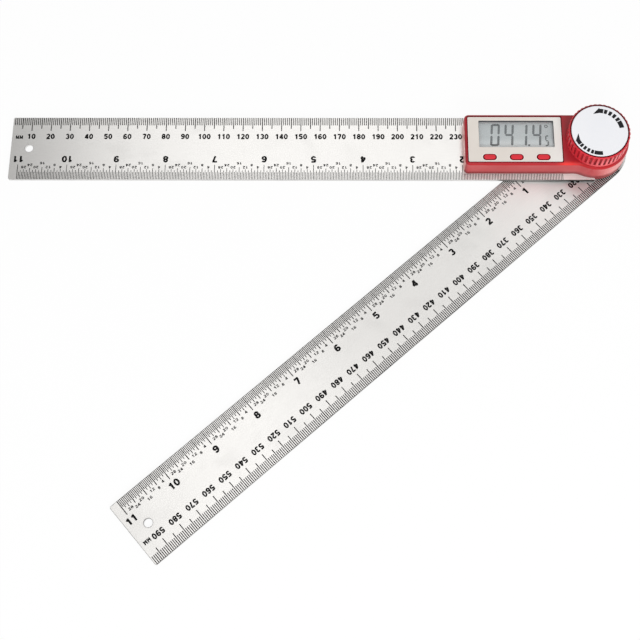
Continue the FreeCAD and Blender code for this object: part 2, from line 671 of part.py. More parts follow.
BOARD_HALF = f"({INNER_HALF} - board_side_gap)"
main_board = new_body("main_board")
raise_pad(main_board, BOARD_LOW, BOARD_TOP, block(BOARD_LEFT, BOARD_RIGHT, f"(-{BOARD_HALF})", BOARD_HALF))
notch_left = f"({BOARD_LEFT} - cut_margin)"
notch_right = f"({FAR_BOSS_X} + boss_radius + seat_gap)"
notch_inner = "(boss_offset - boss_radius - seat_gap)"
notch_outer = f"({BOARD_HALF} + cut_margin)"
boss_notches = [
    block(notch_left, notch_right, notch_inner, notch_outer),
    block(notch_left, notch_right, f"(-{notch_outer})", f"(-{notch_inner})"),
]
cut_pocket(main_board, BOARD_LOW, BOARD_TOP, *boss_notches)
cut_pocket(main_board, BOARD_LOW, BOARD_TOP, *board_screw_holes)

sensor_ribbon = new_body("sensor_ribbon")
ribbon_half = "(ribbon_width / 2)"
ribbon_start = f"({BOARD_RIGHT} - ribbon_overlap)"
ribbon_end = f"(ribbon_overlap - {STATOR_RADIUS})"
raise_pad(
    sensor_ribbon,
    f"(-{ribbon_half})",
    ribbon_half,
    polygon(
        (ribbon_start, BOARD_TOP),
        (BOARD_RIGHT, BOARD_TOP),
        (f"(-{STATOR_RADIUS})", f"({STATOR_LOW} - ribbon_thickness)"),
        (ribbon_end, f"({STATOR_LOW} - ribbon_thickness)"),
        (ribbon_end, STATOR_LOW),
        (f"(-{STATOR_RADIUS})", STATOR_LOW),
        (BOARD_RIGHT, f"({BOARD_TOP} + ribbon_thickness)"),
        (ribbon_start, f"({BOARD_TOP} + ribbon_thickness)"),
    ),
    plane="XZ_Plane",
)

TRAY_HALF = "(tray_plate_side / 2)"
CHIP_LEFT = f"({BATTERY_X} + {TRAY_HALF} + chip_gap)"
CHIP_NEAR = "(-chip_side / 4)"
CHIP_LOW = f"({BOARD_LOW} - chip_height)"
driver_chip = primitive("Box", "driver_chip", CHIP_LEFT, CHIP_NEAR, CHIP_LOW)
bind(driver_chip, Length="chip_side", Width="chip_side", Height="chip_height")
SUB_PARTS.append(driver_chip)

crystal_y = f"{CHIP_NEAR} - crystal_gap - crystal_radius"
crystal_z = f"{BOARD_LOW} - crystal_radius"
crystal_can = primitive("Cylinder", "crystal_can", CHIP_LEFT, crystal_y, crystal_z)
crystal_can.Placement.Rotation = FreeCAD.Rotation(FreeCAD.Vector(0, 1, 0), 90)
bind(crystal_can, Radius="crystal_radius", Height="crystal_length")
SUB_PARTS.append(crystal_can)

small_parts = []
small_x = f"{CHIP_LEFT} + chip_side + small_part_length"
small_z = f"{BOARD_LOW} - small_part_height"
for place in (-2, -1, 0, 1, 2):
    small_y = f"{place} * small_part_pitch - small_part_length / 2"
    small_part = primitive("Box", "small_part", small_x, small_y, small_z)
    bind(small_part, Length="small_part_width", Width="small_part_length", Height="small_part_height")
    small_parts.append(small_part)
group("chip_parts", small_parts)


# Battery

battery_cover = new_body("battery_cover")
raise_pad(battery_cover, UPPER_LOW, UPPER_TOP, disc("cover_radius", BATTERY_X))
raise_pad(battery_cover, UPPER_LOW, COVER_TOP, disc("cover_boss_radius", BATTERY_X))
lugs = centred(BATTERY_X, "0", "(2 * lug_reach)", "lug_width")
raise_pad(battery_cover, f"({UPPER_TOP} + lug_lift)", COVER_TOP, lugs)
coin_slot = stadium("coin_slot_length", "coin_slot_width", BATTERY_X, "0")
cut_pocket(battery_cover, UPPER_LOW, f"({UPPER_LOW} + coin_slot_depth)", coin_slot)

coin_cell = new_body("coin_cell")
raise_pad(coin_cell, CELL_LOW, f"({CELL_TOP} - cell_cap_height)", disc("cell_radius", BATTERY_X))
raise_pad(coin_cell, CELL_LOW, CELL_TOP, disc("(cell_radius - cell_rim)", BATTERY_X))

TRAY_BORE = "(cell_radius + tray_clearance)"
battery_tray = new_body("battery_tray")
tray_plate = centred(BATTERY_X, "0", "tray_plate_side", "tray_plate_side")
raise_pad(battery_tray, f"({BOARD_LOW} - tray_plate_thickness)", BOARD_LOW, tray_plate)
raise_pad(battery_tray, TRAY_LOW, BOARD_LOW, disc(f"({TRAY_BORE} + tray_wall)", BATTERY_X))
foot_reach = f"({TRAY_HALF} - tray_foot_side / 2)"
for foot_x in (f"({BATTERY_X} + {foot_reach})", f"({BATTERY_X} - {foot_reach})"):
    for foot_y in (foot_reach, f"(-{foot_reach})"):
        foot = centred(foot_x, foot_y, "tray_foot_side", "tray_foot_side")
        raise_pad(battery_tray, UPPER_TOP, BOARD_LOW, foot)
cut_pocket(battery_tray, TRAY_LOW, BOARD_LOW, disc(TRAY_BORE, BATTERY_X))
notch_half = "(contact_width / 2 + seat_gap)"
contact_notch = block(BATTERY_X, f"({BATTERY_X} + {TRAY_HALF} + cut_margin)", f"(-{notch_half})", notch_half)
cut_pocket(battery_tray, TRAY_LOW, BOARD_LOW, contact_notch)

CELL_SIDE = f"({BATTERY_X} + cell_radius)"
CONTACT_HALF = "(contact_width / 2)"
CONTACT_FLAT = f"({BOARD_LOW} - contact_thickness)"


def contact_strip(length):
    """A strip's outline from the cell's side outwards."""
    return block(CELL_SIDE, f"({CELL_SIDE} + {length})", f"(-{CONTACT_HALF})", CONTACT_HALF)


contact_plus = new_body("contact_plus")
raise_pad(contact_plus, TRAY_LOW, BOARD_LOW, contact_strip("contact_thickness"))
raise_pad(contact_plus, CONTACT_FLAT, BOARD_LOW, contact_strip("contact_foot"))

spring_line = [("spring_reach", CONTACT_FLAT), ("spring_knee", CONTACT_FLAT), ("spring_tip", CELL_TOP)]
spring_under = [(f"({BATTERY_X} - {x})", z) for x, z in spring_line]
spring_under += [(f"({BATTERY_X} + {x})", z) for x, z in reversed(spring_line)]
spring_over = [(x, f"({z} + contact_thickness)") for x, z in reversed(spring_under)]
contact_minus = new_body("contact_minus")
spring_outline = polygon(*spring_under, *spring_over)
raise_pad(contact_minus, f"(-{CONTACT_HALF})", CONTACT_HALF, spring_outline, plane="XZ_Plane")


# Screws

def screw(label, head, shank):
    """A screw: its head and shank as one solid."""
    fused = DOCUMENT.addObject("Part::MultiFuse", label)
    fused.Shapes = [head, shank]
    return fused


housing_screws = []
for x, y in SCREW_PLACES:
    head = primitive("Cone", "housing_screw_head", x, y, UPPER_LOW)
    bind(head, Radius1="screw_radius + screw_head_flare", Radius2="screw_radius", Height="screw_head_flare")
    shank = primitive("Cylinder", "housing_screw_shank", x, y, UPPER_LOW)
    bind(shank, Radius="screw_radius", Height="screw_length")
    housing_screws.append(screw("housing_screw", head, shank))
group("housing_screws", housing_screws)

board_screws = []
for x, y in BOARD_SCREW_PLACES:
    head = primitive("Cylinder", "board_screw_head", x, y, f"{BOARD_LOW} - board_screw_head_height")
    bind(head, Radius="board_screw_head_radius", Height="board_screw_head_height")
    shank = primitive("Cylinder", "board_screw_shank", x, y, BOARD_LOW)
    bind(shank, Radius="board_screw_radius", Height="board_thickness + board_screw_grip")
    board_screws.append(screw("board_screw", head, shank))
group("board_screws", board_screws)


# Knob

knob_washer = new_body("knob_washer")
raise_pad(knob_washer, SHELL_TOP, KNOB_WASHER_TOP, disc("knob_washer_radius"), disc(PASSAGE))

CAP_SEAT = "(cap_radius + seat_gap / 2)"
KNOB_CAVITY_TOP = f"({CAP_LOW} - knob_roof)"
FLANGE_END = f"({KNOB_WASHER_TOP} + insert_flange_thickness)"
INSERT_TOP = f"({STUD_TOP} + seat_gap)"

lock_knob = new_body("lock_knob")
raise_pad(lock_knob, KNOB_LOW, KNOB_TOP, disc("knob_radius"))
dress(lock_knob, "Chamfer", "knob_edge_chamfer", level_edges(KNOB_TOP))
cut_pocket(lock_knob, CAP_LOW, KNOB_TOP, disc(CAP_SEAT))
knob_cavity = (disc("(knob_radius - groove_depth - knob_wall)"), disc("knob_boss_radius"))
cut_pocket(lock_knob, KNOB_LOW, KNOB_CAVITY_TOP, *knob_cavity)
cut_pocket(lock_knob, KNOB_LOW, KNOB_WASHER_TOP, disc("knob_boss_radius"))
cut_pocket(lock_knob, KNOB_WASHER_TOP, FLANGE_END, disc("insert_flange_radius"))
cut_pocket(lock_knob, FLANGE_END, INSERT_TOP, disc("insert_radius"))
groove_outline = block(
    "(knob_radius - groove_depth)", "(knob_radius + cut_margin)", "(-groove_width / 2)", "(groove_width / 2)"
)
groove_ends = (f"({KNOB_LOW} + knob_foot_height)", f"({KNOB_TOP} - knob_rim_height)")
groove = cut_pocket(lock_knob, *groove_ends, groove_outline)
grooves = lock_knob.newObject("PartDesign::PolarPattern", "lock_knob_grooves")
grooves.Originals = [groove]
grooves.Axis = (groove.Profile[0], ["N_Axis"])
grooves.Angle = 360
bind(grooves, Occurrences="rib_count")
lock_knob.Tip = grooves
DOCUMENT.recompute()

knob_insert = new_body("knob_insert")
THREAD_BORE = "(stud_radius + running_clearance)"
raise_pad(knob_insert, KNOB_WASHER_TOP, FLANGE_END, disc("insert_flange_radius"), disc(THREAD_BORE))
raise_pad(knob_insert, KNOB_WASHER_TOP, INSERT_TOP, disc("insert_radius"), disc(THREAD_BORE))

knob_cap = new_body("knob_cap")
raise_pad(knob_cap, CAP_LOW, f"({KNOB_TOP} + cap_rise)", disc("cap_radius"))
dress(knob_cap, "Fillet", "cap_edge_radius", level_edges(f"({KNOB_TOP} + cap_rise)"))


# Check and write

DOCUMENT.recompute()
failed = [item.Label for item in DOCUMENT.Objects if {"Invalid", "Error"} & set(item.State)]
if failed:
    raise RuntimeError("these objects failed: " + ", ".join(failed))
for sub_part in SUB_PARTS:
    if sub_part.Shape.isNull() or not sub_part.Shape.isValid():
        raise RuntimeError("not a valid shape: " + sub_part.Label)

os.makedirs("parts", exist_ok=True)
for sub_part in SUB_PARTS:
    sub_part.Shape.exportStep(f"parts/{sub_part.Label}.step")
print(len(SUB_PARTS), "sub-parts written")
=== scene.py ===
"""Looks of the digital angle finder: two steel rule arms, a display head and a clamping knob.

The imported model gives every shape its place. This script dresses those solids, draws the scales,
the numbers and the display, and sets up the studio and the camera.
"""

import logging
import math
from dataclasses import dataclass, field
from enum import Enum
from typing import Callable, Iterable, Optional, Union

import bmesh
import bpy
from mathutils import Euler, Matrix, Vector


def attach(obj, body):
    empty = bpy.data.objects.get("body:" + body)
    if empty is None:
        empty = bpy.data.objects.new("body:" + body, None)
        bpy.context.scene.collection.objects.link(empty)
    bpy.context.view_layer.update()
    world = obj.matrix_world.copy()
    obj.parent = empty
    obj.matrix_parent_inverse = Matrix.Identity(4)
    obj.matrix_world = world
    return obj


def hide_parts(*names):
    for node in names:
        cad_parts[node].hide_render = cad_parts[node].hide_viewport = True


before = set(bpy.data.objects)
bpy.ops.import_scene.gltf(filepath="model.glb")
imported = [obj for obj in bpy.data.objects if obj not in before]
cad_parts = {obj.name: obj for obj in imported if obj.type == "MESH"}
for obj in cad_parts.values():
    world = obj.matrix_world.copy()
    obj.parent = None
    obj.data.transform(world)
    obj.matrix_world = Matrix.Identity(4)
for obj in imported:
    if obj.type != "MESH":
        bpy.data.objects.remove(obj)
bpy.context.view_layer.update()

LOG = logging.getLogger("angle_finder")
MM = 0.001
OPENING = math.radians(41.4)
Colour = tuple[float, float, float]
Place = tuple[float, float, float]
Pair = tuple[float, float]
Mesh = bmesh.types.BMesh
WHITE = (1.0, 1.0, 1.0, 1.0)


class Body(str, Enum):
    """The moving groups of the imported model."""

    DISPLAY_ARM = "display_arm"
    SWING_ARM = "swing_arm"
    CLAMP_KNOB = "clamp_knob"
    KEY_LEFT = "key_left"
    KEY_MIDDLE = "key_middle"
    KEY_RIGHT = "key_right"


class Side(Enum):
    """The long edge of an arm that a scale runs along."""

    UPPER = 1
    LOWER = -1


def linear(red: int, green: int, blue: int) -> Colour:
    """Turns a display colour of 0 to 255 into a linear one."""

    def channel(value: int) -> float:
        share = value / 255.0
        return share / 12.92 if share <= 0.04045 else ((share + 0.055) / 1.055) ** 2.4

    return channel(red), channel(green), channel(blue)


# Shader nodes


@dataclass(frozen=True)
class Signal:
    """A value in a shader tree that can be reckoned with."""

    tree: "Tree"
    socket: bpy.types.NodeSocket

    def __add__(self, other: "Value") -> "Signal":
        """Returns the sum."""
        return self.tree.maths("ADD", self, other)

    def __sub__(self, other: "Value") -> "Signal":
        """Returns the difference."""
        return self.tree.maths("SUBTRACT", self, other)

    def __rsub__(self, other: float) -> "Signal":
        """Returns a number less this value."""
        return self.tree.maths("SUBTRACT", other, self)

    def __mul__(self, other: "Value") -> "Signal":
        """Returns the product."""
        return self.tree.maths("MULTIPLY", self, other)

    def spread(self, low: float, high: float, start: float = 0.0, end: float = 1.0) -> "Signal":
        """Maps the value from start..end to low..high, smoothly.

        Args:
            low: Result at the start.
            high: Result at the end.
            start: Where the range begins.
            end: Where the range ends.

        Returns:
            The mapped value.
        """
        inputs = {"Value": self, "From Min": start, "From Max": end, "To Min": low, "To Max": high}
        return self.tree.add("MapRange", inputs, "Result", interpolation_type="SMOOTHSTEP")


Value = Union[Signal, float, tuple]
Signals = dict[str, Signal]


class Tree:
    """Adds and links nodes in one shader tree."""

    def __init__(self, tree: bpy.types.NodeTree) -> None:
        """Keeps the tree that nodes go into."""
        self.tree = tree

    def feed(self, entry: bpy.types.NodeSocket, value: Value) -> None:
        """Links a signal to a node's input, or sets the input to a plain value."""
        if isinstance(value, Signal):
            self.tree.links.new(value.socket, entry)
        else:
            entry.default_value = value

    def node(self, kind: str, inputs: Optional[dict] = None, **options) -> bpy.types.Node:
        """Adds one node.

        Args:
            kind: The node's type, without its ShaderNode start.
            inputs: Values for its inputs, by name or number.
            options: Settings of the node itself.

        Returns:
            The new node.
        """
        node = self.tree.nodes.new("ShaderNode" + kind)
        for name, value in options.items():
            setattr(node, name, value)
        for key, value in (inputs or {}).items():
            self.feed(node.inputs[key], value)
        return node

    def outputs(self, node: bpy.types.Node) -> Signals:
        """Returns a node's outputs by name."""
        return {socket.name: Signal(self, socket) for socket in node.outputs}

    def add(self, kind: str, inputs: Optional[dict] = None, output: int | str = 0, **options) -> Signal:
        """Adds one node and returns one of its outputs, as node() does with the node itself."""
        return Signal(self, self.node(kind, inputs, **options).outputs[output])

    def maths(self, operation: str, first: Value, second: Value = 0.0, clamp: bool = False) -> Signal:
        """Returns the result of a maths operation on two values."""
        return self.add("Math", {0: first, 1: second}, operation=operation, use_clamp=clamp)

    def split(self, vector: Signal) -> tuple[Signal, Signal, Signal]:
        """Returns the three parts of a vector."""
        return tuple(self.outputs(self.node("SeparateXYZ", {0: vector})).values())

    def length(self, x: Signal, y: Signal) -> Signal:
        """Returns the distance of a flat place from the origin."""
        return self.add("VectorMath", {0: self.add("CombineXYZ", {0: x, 1: y})}, "Value", operation="LENGTH")

    def blend(self, share: Value, first: Value, second: Value) -> Signal:
        """Mixes two colours.

        Args:
            share: Part of the second colour.
            first: The first colour.
            second: The second colour.

        Returns:
            The mixed colour.
        """
        first, second = ((*value, 1.0) if isinstance(value, tuple) else value for value in (first, second))
        return self.add("Mix", {0: share, 6: first, 7: second}, 2, data_type="RGBA")

    def bump(self, height: Signal, strength: float, depth: float, **normal: Signal) -> Signal:
        """Returns a bumped normal from a height, with its strength and its depth in metres."""
        return self.add("Bump", {"Height": height, "Strength": strength, "Distance": depth, **normal})

    def shader(self, colour: Signal, dull: Signal, normal: Signal, **others: Value) -> Signal:
        """Returns the surface shader of a colour, a roughness, a normal and any other inputs by name."""
        inputs = {"Base Color": colour, "Roughness": dull, "Normal": normal, **others}
        return self.add("BsdfPrincipled", inputs)


def clear_tree(owner: bpy.types.Material | bpy.types.World) -> Tree:
    """Empties the shader tree of a material or a world and returns it."""
    owner.use_nodes = True
    owner.node_tree.nodes.clear()
    return Tree(owner.node_tree)


def brushed_grain(tree: Tree, entry: Signals) -> Signals:
    """Fills a group with brushed metal: long streaks, a crossing hatch and slow clouds."""
    place, middle_range = entry["Vector"], (0.3, 0.7)
    stretch = tree.add("CombineXYZ", {0: entry["Along"], 1: entry["Across"], 2: entry["Across"]})
    along = tree.add("VectorMath", {0: place, 1: stretch}, operation="MULTIPLY")
    streak = tree.add("TexNoise", {"Vector": along, "Scale": 1.0, "Detail": 3.0, "Roughness": 0.6})
    turned = tree.add("VectorRotate", {"Vector": place, "Angle": math.radians(62.0)}, rotation_type="Z_AXIS")
    across = tree.add("VectorMath", {0: turned, 1: stretch}, operation="MULTIPLY")
    hatch = tree.add("TexNoise", {"Vector": across, "Scale": 0.8, "Detail": 2.0})
    cloud = tree.add("TexNoise", {"Vector": place, "Scale": 22.0, "Detail": 4.0})
    return {
        "Height": streak + hatch * 0.6,
        "Streak": streak.spread(0.0, 1.0, *middle_range),
        "Cloud": cloud.spread(0.0, 1.0, *middle_range),
    }


def moulded_skin(tree: Tree, entry: Signals) -> Signals:
    """Fills a group with a moulded plastic's skin: fine pebbles and a slow change of shade."""
    place, size = entry["Vector"], entry["Size"]
    pebble = tree.add("TexVoronoi", {"Vector": place, "Scale": size}, "Distance")
    fine = tree.add("TexNoise", {"Vector": place, "Scale": size, "Detail": 2.0})
    slow = tree.add("TexNoise", {"Vector": place, "Scale": 70.0, "Detail": 5.0})
    return {"Height": pebble + fine, "Mottle": slow.spread(0.0, 1.0, 0.3, 0.7)}


def handling_smudge(tree: Tree, entry: Signals) -> Signals:
    """Fills a group with the faint smudges that hands leave."""
    noise = tree.add(
        "TexNoise", {"Vector": entry["Vector"], "Scale": entry["Scale"], "Detail": 6.0, "Distortion": 0.8}
    )
    return {"Mask": noise.spread(0.0, 1.0, 0.48, 0.68)}


def softened_edge(tree: Tree, entry: Signals) -> Signals:
    """Fills a group with soft edges: a rounded normal and a mask of the edges that hands rub."""
    rounded = tree.add("Bevel", {"Radius": entry["Radius"]}, samples=4)
    flat = tree.add("NewGeometry", output="Normal")
    agreement = tree.add("VectorMath", {0: rounded, 1: flat}, "Value", operation="DOT_PRODUCT")
    patchy = tree.add("TexNoise", {"Vector": entry["Vector"], "Scale": 900.0, "Detail": 3.0})
    rubbed = tree.maths("MULTIPLY", (1.0 - agreement).spread(0.0, 1.0, 0.02, 0.2), patchy, clamp=True)
    return {"Normal": rounded, "Mask": rubbed}


@dataclass(frozen=True)
class Group:
    """A shader group that several finishes share, made once."""

    fill: Callable[[Tree, Signals], Signals]
    inputs: dict[str, float]
    outputs: dict[str, str]

    def made(self) -> bpy.types.NodeTree:
        """Returns the group's own tree."""
        name = self.fill.__name__
        found = bpy.data.node_groups.get(name)
        if found:
            return found
        group = bpy.data.node_groups.new(name, "ShaderNodeTree")
        group.interface.new_socket(name="Vector", in_out="INPUT", socket_type="NodeSocketVector")
        for label, value in self.inputs.items():
            socket = group.interface.new_socket(name=label, in_out="INPUT", socket_type="NodeSocketFloat")
            socket.default_value = value
        for label, kind in self.outputs.items():
            group.interface.new_socket(name=label, in_out="OUTPUT", socket_type="NodeSocket" + kind)
        tree = Tree(group)
        entry, leave = group.nodes.new("NodeGroupInput"), group.nodes.new("NodeGroupOutput")
        for label, signal in self.fill(tree, tree.outputs(entry)).items():
            tree.feed(leave.inputs[label], signal)
        return group

    def place(self, tree: Tree, **inputs: Value) -> Signals:
        """Places the group in a material.

        Args:
            tree: The material's tree.
            inputs: Values for the group's inputs.

        Returns:
            The group's outputs by name.
        """
        node = tree.tree.nodes.new("ShaderNodeGroup")
        node.node_tree = self.made()
        for label, value in inputs.items():
            tree.feed(node.inputs[label], value)
        return tree.outputs(node)


BRUSHED = Group(
    brushed_grain, {"Along": 60.0, "Across": 2500.0}, {"Height": "Float", "Streak": "Float", "Cloud": "Float"}
)
SKIN = Group(moulded_skin, {"Size": 2600.0}, {"Height": "Float", "Mottle": "Float"})
SMUDGE = Group(handling_smudge, {"Scale": 40.0}, {"Mask": "Float"})
EDGE = Group(softened_edge, {"Radius": 0.3 * MM}, {"Normal": "Vector", "Mask": "Float"})


# Finishes


@dataclass(frozen=True)
class Finish:
    """A surface finish made of shader nodes."""

    name: str

    def build(self) -> bpy.types.Material:
        """Returns the material, made once."""
        found = bpy.data.materials.get("finish_" + self.name)
        if found:
            return found
        material = bpy.data.materials.new("finish_" + self.name)
        tree = clear_tree(material)
        tree.node("OutputMaterial", {"Surface": self.surface(tree, tree.add("TexCoord", output="Object"))})
        return material

    def surface(self, tree: Tree, place: Signal) -> Signal:
        """Builds the finish's nodes.

        Args:
            tree: The material's tree.
            place: The object's own coordinates.

        Returns:
            The shader.
        """
        raise NotImplementedError


@dataclass(frozen=True)
class RuleSteel(Finish):
    """Satin stainless rule steel, brushed along the arm, with a grey line of painted shade round its edges.

    The line is painted darker where the arm lies over the other one, as painted shadow, and painted shade
    darkens the top face round the pivot.
    """

    turn: float = 0.0
    pale: Colour = linear(251, 249, 246)
    deep: Colour = linear(245, 243, 240)
    cloud_share: float = 0.25
    # Colour of the painted shade along the edges.
    line: Colour = linear(150, 149, 148)
    line_cover: Pair = (0.6, 1.0)
    half_width: float = 17.6 * MM
    far_end: float = 300.0 * MM
    hole_place: float = 290.6 * MM
    hole_line: float = 2.55 * MM
    edge_line: float = 0.3 * MM
    round_end: float = 17.1 * MM
    round_fade: Pair = (1.0 * MM, 7.0 * MM)
    # Colour of the painted shadow on the lower edge line where the arm lies over the other one.
    under_shade: Colour = linear(58, 52, 52)
    under_from: float = 1.0
    under_fade: float = 3.0 * MM
    # Ring, colour and share of the painted shade round the pivot.
    worn_ring: Pair = (20.0 * MM, 42.0 * MM)
    worn: Colour = linear(200, 207, 207)
    worn_share: float = 0.0
    roughness: Pair = (0.36, 0.4)
    smudged: float = 0.03
    tangent_rise: float = 0.05

    def surface(self, tree: Tree, place: Signal) -> Signal:
        """Builds the finish's nodes and returns the shader."""
        straight = tree.add("VectorRotate", {"Vector": place, "Angle": -self.turn}, rotation_type="Z_AXIS")
        grain = BRUSHED.place(tree, Vector=straight, Along=260.0, Across=4200.0)
        smudge = SMUDGE.place(tree, Vector=straight, Scale=30.0)["Mask"]
        x, y, _ = tree.split(straight)
        from_pivot = tree.length(x, y)
        # Painted shade: a grey line darkens the outline, the round end and the hole's rim.
        edges = self.edges(tree, x, y, from_pivot)
        edge_shade = tree.maths("MULTIPLY", edges, grain["Cloud"].spread(*self.line_cover), clamp=True)
        body = tree.blend(grain["Streak"], self.deep, self.pale)
        cloudy = tree.blend(grain["Cloud"] * self.cloud_share, body, self.deep)
        upward = tree.split(tree.add("TexCoord", output="Normal"))[2]
        # Painted shade darkens the top face in a ring round the pivot.
        ring = from_pivot.spread(self.worn_share, 0.0, *self.worn_ring)
        cloudy = tree.blend(ring * tree.maths("GREATER_THAN", upward, 0.5), cloudy, self.worn)
        # Painted shadow: from under_from on, the lower edge line turns dark where the arm lies over the other
        # one.
        under = x.spread(0.0, 1.0, self.under_from, self.under_from + self.under_fade)
        under = under * tree.maths("LESS_THAN", y, 0.0)
        colour = tree.blend(edge_shade, cloudy, tree.blend(under, self.line, self.under_shade))
        dull = grain["Streak"].spread(*self.roughness) + smudge * self.smudged
        across = (-math.sin(self.turn), math.cos(self.turn), self.tangent_rise)
        tangent = tree.add(
            "VectorTransform", {0: across}, vector_type="VECTOR", convert_from="OBJECT", convert_to="WORLD"
        )
        bump = tree.bump(grain["Height"], 0.03, 0.02 * MM)
        return tree.shader(colour, dull, bump, Tangent=tangent, Metallic=1.0, Anisotropic=1.0)

    def edges(self, tree: Tree, x: Signal, y: Signal, from_pivot: Signal) -> Signal:
        """Returns the mask of the painted edge shade along the arm's outline, its round end and round its
        hole.

        Args:
            tree: The material's tree.
            x: The place along the arm, from the pivot.
            y: The place across the arm.
            from_pivot: The distance from the pivot.

        Returns:
            The mask, 1 on the line.
        """
        from_side = self.half_width - tree.maths("ABSOLUTE", y)
        from_hole = tree.length(x + self.hole_place, y) - (self.hole_line - self.edge_line)
        nearest = tree.maths("MINIMUM", tree.maths("MINIMUM", from_side, x + self.far_end), from_hole)
        from_round = tree.maths("LESS_THAN", x, 0.0) + (self.round_end - from_pivot)
        straight = nearest.spread(1.0, 0.0, 0.0, self.edge_line)
        bent = from_round.spread(1.0, 0.0, 0.0, self.edge_line) * x.spread(1.0, 0.0, *self.round_fade)
        return tree.maths("MAXIMUM", straight, bent)


@dataclass(frozen=True)
class TurnedMetal(Finish):
    """Machined or stamped metal with fine tool marks."""

    pale: Colour = linear(205, 205, 205)
    deep: Colour = linear(160, 160, 162)
    roughness: Pair = (0.22, 0.38)
    marks: float = 3000.0
    edge_radius: float = 0.1 * MM

    def surface(self, tree: Tree, place: Signal) -> Signal:
        """Builds the finish's nodes and returns the shader."""
        grain = BRUSHED.place(tree, Vector=place, Along=self.marks * 0.2, Across=self.marks)
        edge = EDGE.place(tree, Vector=place, Radius=self.edge_radius)
        colour = tree.blend(edge["Mask"], tree.blend(grain["Streak"], self.deep, self.pale), self.pale)
        bump = tree.bump(grain["Height"], 0.2, 0.02 * MM, Normal=edge["Normal"])
        return tree.shader(colour, grain["Cloud"].spread(*self.roughness), bump, Metallic=1.0)


@dataclass(frozen=True)
class MouldedPlastic(Finish):
    """Injection moulded plastic with a fine skin, a little mottling and rubbed edges."""

    base: Colour = linear(190, 20, 35)
    deep: Colour = linear(170, 15, 28)
    rubbed: Colour = linear(215, 90, 95)
    roughness: Pair = (0.28, 0.4)
    smudged: float = 0.06
    bend: float = 1.45
    skin: float = 2600.0
    relief: float = 0.08
    edge_radius: float = 0.25 * MM
    edge_share: float = 0.5

    def surface(self, tree: Tree, place: Signal) -> Signal:
        """Builds the finish's nodes and returns the shader."""
        skin = SKIN.place(tree, Vector=place, Size=self.skin)
        smudge = SMUDGE.place(tree, Vector=place, Scale=60.0)["Mask"]
        edge = EDGE.place(tree, Vector=place, Radius=self.edge_radius)
        body = tree.blend(skin["Mottle"], self.deep, self.base)
        colour = self.shade(tree, place, tree.blend(edge["Mask"] * self.edge_share, body, self.rubbed))
        dull = skin["Mottle"].spread(*self.roughness) + smudge * self.smudged
        bump = tree.bump(skin["Height"], self.relief, 0.03 * MM, Normal=edge["Normal"])
        return tree.shader(colour, dull, bump, IOR=self.bend)

    def shade(self, tree: Tree, place: Signal, colour: Signal) -> Signal:
        """Changes the colour over the piece, here not at all.

        Args:
            tree: The material's tree.
            place: The object's own coordinates.
            colour: The plain colour.

        Returns:
            The changed colour.
        """
        return colour


@dataclass(frozen=True)
class ShellPlastic(MouldedPlastic):
    """Moulded plastic with painted highlights on its top edge, on the roof by the knob and on its ends, a
    painted sheen on its walls and painted shade at its foot.
    """

    # Painted highlight along the rounded top edge.
    lip: Colour = linear(176, 20, 26)
    lip_rows: Pair = (13.7 * MM, 13.95 * MM)
    lip_share: float = 0.8
    # Painted highlight on the roof in front of the knob.
    flare: Colour = linear(250, 58, 48)
    flare_rows: Pair = (-13.6 * MM, -11.6 * MM)
    flare_columns: tuple[float, float, float] = (-22.0 * MM, -16.0 * MM, -6.0 * MM)
    flare_share: float = 0.6
    # Painted sheen on the walls, and painted highlight on the left end and the round end.
    blush: Colour = linear(196, 106, 108)
    blush_share: float = 0.4
    bloom: Colour = linear(255, 190, 183)
    left_end: Pair = (-66.3 * MM, -66.1 * MM)
    left_share: float = 0.9
    round_end: Pair = (-4.0 * MM, 13.0 * MM)
    round_share: float = 0.45
    wall_levels: Pair = (12.8 * MM, 13.6 * MM)
    # Painted shade at the foot of the walls, where they meet the blade.
    foot: Colour = linear(104, 8, 16)
    foot_levels: Pair = (4.4 * MM, 7.0 * MM)
    foot_share: float = 0.7

    def shade(self, tree: Tree, place: Signal, colour: Signal) -> Signal:
        """Returns the colour with the painted highlights of the roof, then the painted sheen, highlights and
        shade of the walls.
        """
        x, y, z = tree.split(place)
        start, middle, end = self.flare_columns
        # Painted highlights: a band along the top edge and a patch on the roof beside the knob.
        lip = tree.maths("ABSOLUTE", y).spread(0.0, self.lip_share, *self.lip_rows)
        flare = x.spread(0.0, self.flare_share, start, middle) * x.spread(1.0, 0.0, middle, end)
        flare = flare * y.spread(1.0, 0.0, *self.flare_rows) * z.spread(0.0, 1.0, *self.wall_levels)
        roof = tree.blend(flare, tree.blend(lip, colour, self.lip), self.flare)
        # Painted highlights on the left end and the round end, and painted sheen on the walls.
        left = x.spread(self.left_share, 0.0, *self.left_end)
        on_wall = z.spread(1.0, 0.0, *self.wall_levels)
        with_wall_sheen = tree.blend(on_wall * self.blush_share, roof, self.blush)
        ends = tree.maths("MAXIMUM", left, x.spread(0.0, self.round_share, *self.round_end)) * on_wall
        # Painted shade darkens the foot of the walls, away from the left end.
        foot = z.spread(self.foot_share, 0.0, *self.foot_levels) * (1.0 - left)
        return tree.blend(foot, tree.blend(ends, with_wall_sheen, self.bloom), self.foot)


